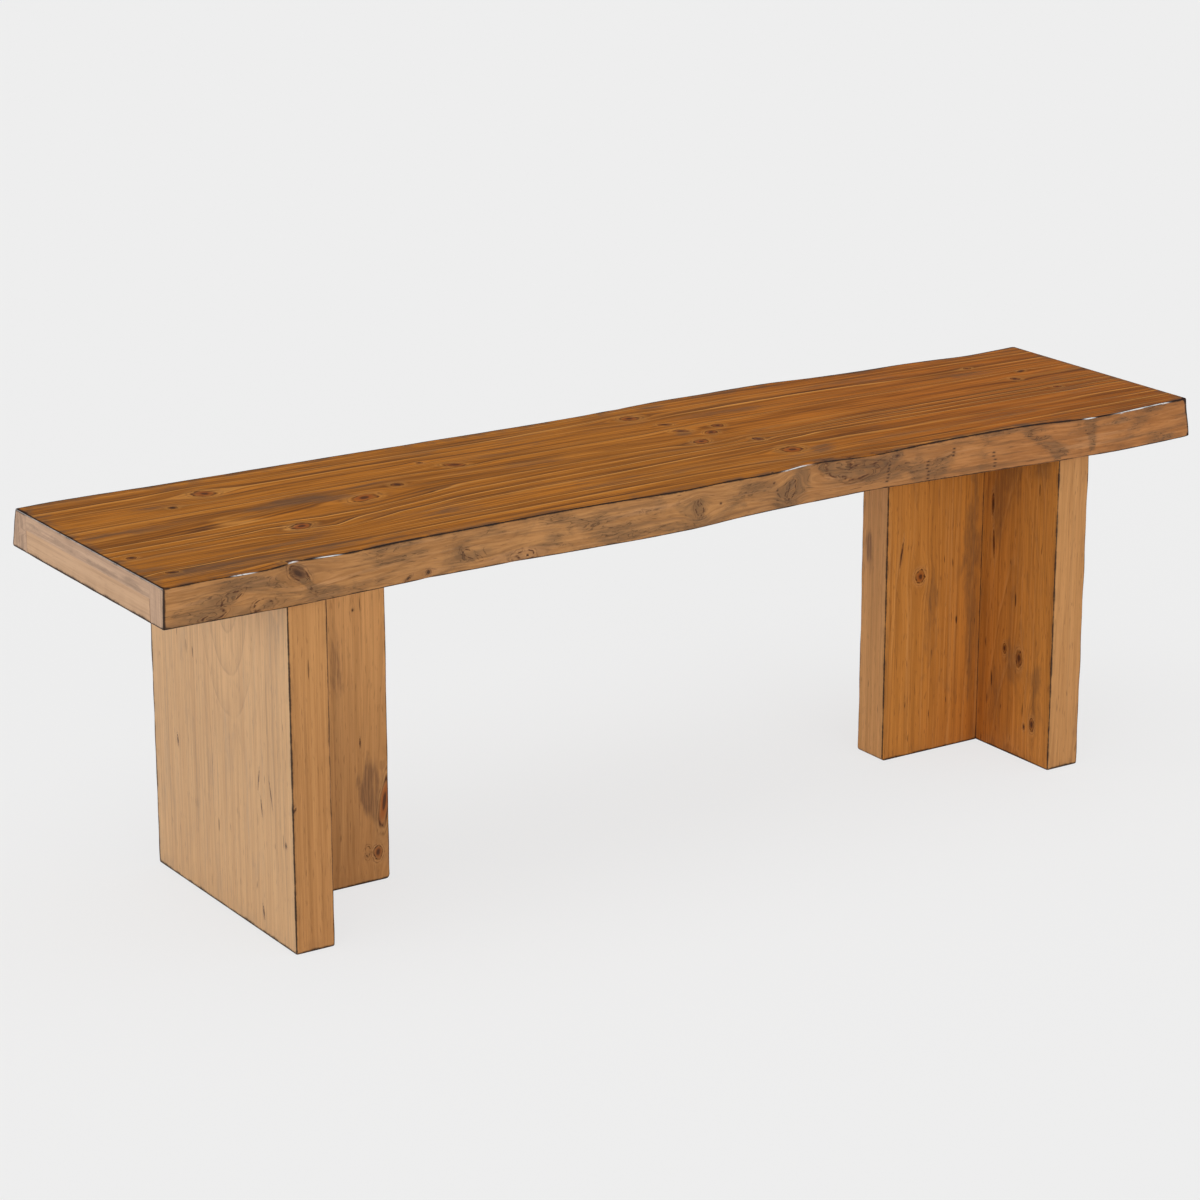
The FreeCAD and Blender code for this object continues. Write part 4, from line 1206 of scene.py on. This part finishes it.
# RAIL SCREWS AND SEAT BOLTS
# Countersunk cross-head screws hold the rails up to the board, with their heads flush. Socket
# head bolts with washers hold each leg cleat to threaded brass inserts in the board.

def fixing(name, profile, recess, depth):
    """One upright screw or bolt with its face at the origin, looking down: a profile of radius
    and height from the rim of the face to the tip, and the outline of its driving recess."""
    sides = 32
    mesh = bmesh.new()
    ring_before, rim = None, None
    for radius, height in profile:
        turns = [math.tau * side / sides for side in range(sides)]
        ring = [
            mesh.verts.new((
                radius * MM * math.cos(turn), radius * MM * math.sin(turn), height * MM))
            for turn in turns]
        if ring_before:
            for side in range(sides):
                after = (side + 1) % sides
                mesh.faces.new((ring_before[side], ring_before[after], ring[after], ring[side]))
        rim = rim or ring
        ring_before = ring
    mesh.faces.new(ring_before)
    mouth = [mesh.verts.new((x * MM, y * MM, 0)) for x, y in recess]
    floor = [mesh.verts.new((x * MM * 0.8, y * MM * 0.8, depth * MM)) for x, y in recess]
    edges = []
    for loop in (rim, mouth):
        for first, second in zip(loop, loop[1:] + loop[:1]):
            edges.append(mesh.edges.get((first, second)) or mesh.edges.new((first, second)))
    bmesh.ops.triangle_fill(mesh, use_beauty=True, edges=edges)
    for side in range(len(mouth)):
        after = (side + 1) % len(mouth)
        mesh.faces.new((mouth[side], mouth[after], floor[after], floor[side]))
    mesh.faces.new(floor)
    bmesh.ops.recalc_face_normals(mesh, faces=mesh.faces)
    made = bpy.data.meshes.new(name)
    mesh.to_mesh(made)
    mesh.free()
    made.shade_smooth()
    made.set_sharp_from_angle(angle=math.radians(35))
    return add_object(name, made)


def fixing_rows():
    """Geometry nodes that repeat one fixing, turned by chance, along a row, and the row again.
    Returns them with the identifier of each named input."""
    tree = bpy.data.node_groups.new("Rows of fixings", "GeometryNodeTree")
    tree.interface.new_socket("One fixing", in_out="INPUT", socket_type="NodeSocketGeometry")
    kinds = {"Start": "Vector", "Count": "Int", "Step": "Vector", "Rows": "Int",
             "Row step": "Vector", "Finish": "Material"}
    named = {}
    for name, kind in kinds.items():
        made = tree.interface.new_socket(
            name, in_out="INPUT", socket_type="NodeSocket" + kind)
        named[name] = made.identifier
    tree.interface.new_socket("Fixings", in_out="OUTPUT", socket_type="NodeSocketGeometry")
    nodes = Nodes(tree)
    given = nodes.add("NodeGroupInput").outputs
    turn = nodes.add(
        "FunctionNodeRandomValue", {0: (0, 0, 0), 1: (0, 0, math.tau), "Seed": 4},
        data_type="FLOAT_VECTOR").outputs[0]
    lines = [
        ({"Count": given["Count"], "Offset": given["Step"]}, {"Rotation": turn}),
        ({"Count": given["Rows"], "Start Location": given["Start"],
          "Offset": given["Row step"]}, {}),
    ]
    shape = given["One fixing"]
    for line, turning in lines:
        points = nodes.add("GeometryNodeMeshLine", line).outputs[0]
        placed = nodes.add(
            "GeometryNodeInstanceOnPoints", {"Points": points, "Instance": shape, **turning})
        shape = nodes.add("GeometryNodeRealizeInstances", {0: placed.outputs[0]}).outputs[0]
    finished = nodes.add(
        "GeometryNodeSetMaterial", {"Geometry": shape, "Material": given["Finish"]})
    nodes.link(finished.outputs[0], nodes.add("NodeGroupOutput").inputs[0])
    return tree, named


ROWS, ROW_INPUTS = fixing_rows()


def set_rows(piece, node, **sizes):
    """Repeat a fixing where the CAD piece has its own, and leave one plain mesh."""
    rows = piece.modifiers.new("rows", "NODES")
    rows.node_group = ROWS
    for name, value in sizes.items():
        rows[ROW_INPUTS[name.replace("_", " ")]] = value
    rows[ROW_INPUTS["Finish"]] = zinc_plate
    placed = piece.evaluated_get(bpy.context.evaluated_depsgraph_get())
    made = bpy.data.meshes.new_from_object(placed)
    piece.modifiers.remove(rows)
    piece.data = made
    stands_for(piece, "zinc_steel", node)


def upwards(low, high, root, crest, pitch):
    """The profile of a thread as ridges, from low to high."""
    ridges = []
    for height in np.arange(low, high - pitch, pitch):
        ridges += [(root, height), (crest, height + pitch * 0.5), (root, height + pitch * 0.9)]
    return ridges


# Outlines of the two driving recesses, and profiles of screw and bolt as radius and height
CROSS = [
    (2.6, 0.55), (0.7, 0.7), (0.55, 2.6), (-0.55, 2.6), (-0.7, 0.7), (-2.6, 0.55),
    (-2.6, -0.55), (-0.7, -0.7), (-0.55, -2.6), (0.55, -2.6), (0.7, -0.7), (2.6, -0.55),
]
HEXAGON = [
    (3.4 * math.cos(math.tau * side / 6), 3.4 * math.sin(math.tau * side / 6))
    for side in range(6)]
SCREW = [
    (4.45, 0), (4.5, 0.1), (2.3, 2.3), (1.9, 5), *upwards(8, 33, 1.5, 2.25, 1.6), (1.4, 34),
    (0.3, 39)]
BOLT = [
    (6.4, 0), (7, 0.6), (7, 5), (4, 5), (4, 24), *upwards(25, 43, 3.4, 4, 1.25), (3.2, 44),
    (2.8, 45)]
# A rail's first screw is this far behind the front glue line, and its last one is at this Y
FIRST_SCREW, LAST_SCREW = 50 * MM, 95 * MM
for rail in ("left_end_cleat", "middle_batten", "right_end_cleat"):
    low, high = cad_corners(rail)
    x, node = (low[0] + high[0]) / 2 * MM, rail + "_screws"
    first = front_joint(x) + FIRST_SCREW
    set_rows(
        fixing(node + "_turned", SCREW, CROSS, depth=1.6), node,
        Start=(x, first, SLAB_BOTTOM), Count=4, Step=(0, (LAST_SCREW - first) / 3, 0),
        Rows=1, Row_step=(0, 0, 0))
# The four bolts of a leg: how far out the near and the far pair are, how far each bolt is from
# the middle line, and the height of their heads' lower faces
NEAR_PAIR, FAR_PAIR, BOLT_SIDE, BOLT_FACE = 431.5 * MM, 575 * MM, 100 * MM, 397 * MM
for side, first in (("left", -FAR_PAIR), ("right", NEAR_PAIR)):
    set_rows(
        fixing(side + "_seat_bolts_turned", BOLT, HEXAGON, depth=2.5), side + "_seat_bolts",
        Start=(first, -BOLT_SIDE, BOLT_FACE), Count=2, Step=(0, 2 * BOLT_SIDE, 0), Rows=2,
        Row_step=(FAR_PAIR - NEAR_PAIR, 0, 0))


# STUDIO
# A plain pale floor under a plain pale room. Broad, low lamps light the front and the left
# faces from the front round to the left, and a soft lamp overhead lights the seat.

BACKGROUND = (0.863, 0.863, 0.863, 1)
# How bright the room is for the wood, against the background that the camera sees, and how much
# of the background's full brightness a mirrored ray sees in it
ROOM_LIGHT = 0.48
ROOM_GLOSS = 0.0
# Each lamp's name, strength, direction towards it and breadth in degrees
LAMPS = [
    ("front", 1.15, (-0.08, -0.99, 0.08), 50),
    ("front_left", 0.85, (-0.72, -0.69, 0.08), 50),
    ("left", 1.2, (-0.97, 0.2, 0.08), 50),
    ("overhead", 1.0, (0.0, -0.1, 1.0), 70),
]


def seen_share(nodes, camera, glossy):
    """How much a ray sees the plain background colour, by the kind of ray: one straight from
    the camera, or a mirrored one."""
    path = nodes.add("ShaderNodeLightPath").outputs
    direct = nodes.maths("MAXIMUM", path["Is Camera Ray"], path["Is Transmission Ray"])
    mirrored = nodes.times(path["Is Glossy Ray"], glossy)
    return nodes.maths("MAXIMUM", nodes.times(direct, camera), mirrored)


floor_mesh = bpy.data.meshes.new("floor")
far = 40
corners = [(-far, -far, 0), (far, -far, 0), (far, far, 0), (-far, far, 0)]
floor_mesh.from_pydata(corners, [], [(0, 1, 2, 3)])
floor = add_object("floor", floor_mesh)
floor_paint, nodes, _ = new_material("pale_floor")
matt = nodes.add("ShaderNodeBsdfDiffuse", {"Color": (0.93, 0.93, 0.93, 1)})
even = nodes.add("ShaderNodeEmission", {"Color": BACKGROUND, "Strength": 1.0})
share = seen_share(nodes, camera=0.84, glossy=0.6)
both = nodes.add("ShaderNodeMixShader", {0: share, 1: matt.outputs[0], 2: even.outputs[0]})
end = floor_paint.node_tree.nodes["Material Output"]
nodes.link(both.outputs[0], end.inputs["Surface"])
floor_mesh.materials.append(floor_paint)

world = bpy.data.worlds.new("studio")
bpy.context.scene.world = world
world.use_nodes = True
nodes = Nodes(world.node_tree)
room = world.node_tree.nodes["Background"]
room.inputs["Color"].default_value = BACKGROUND
share = seen_share(nodes, camera=1.0, glossy=ROOM_GLOSS)
strength = nodes.rise(share, 0.0, 1.0, ROOM_LIGHT, 1.0)
nodes.link(strength, room.inputs["Strength"])

for name, strength, to_light, angle in LAMPS:
    lamp = bpy.data.lights.new(name, "SUN")
    lamp.energy = strength
    lamp.angle = math.radians(angle)
    stand = add_object(name, lamp)
    stand.rotation_euler = Vector(to_light).to_track_quat("Z", "Y").to_euler()

# The camera stands to the front left of the bench and looks down at it
CAMERA_PLACE = (-2.2354, -3.3154, 1.5154)
CAMERA_AZIMUTH = math.radians(33.382)
CAMERA_DROP = math.radians(17.342)
camera = add_object("camera", bpy.data.cameras.new("camera"))
camera.data.lens = 106.03
camera.data.sensor_width = 36
camera.data.clip_end = 100
camera.location = CAMERA_PLACE
sight = Vector((
    math.sin(CAMERA_AZIMUTH) * math.cos(CAMERA_DROP),
    math.cos(CAMERA_AZIMUTH) * math.cos(CAMERA_DROP),
    -math.sin(CAMERA_DROP)))
camera.rotation_euler = sight.to_track_quat("-Z", "Y").to_euler()
bpy.context.scene.camera = camera
bpy.context.scene.view_settings.view_transform = "Standard"
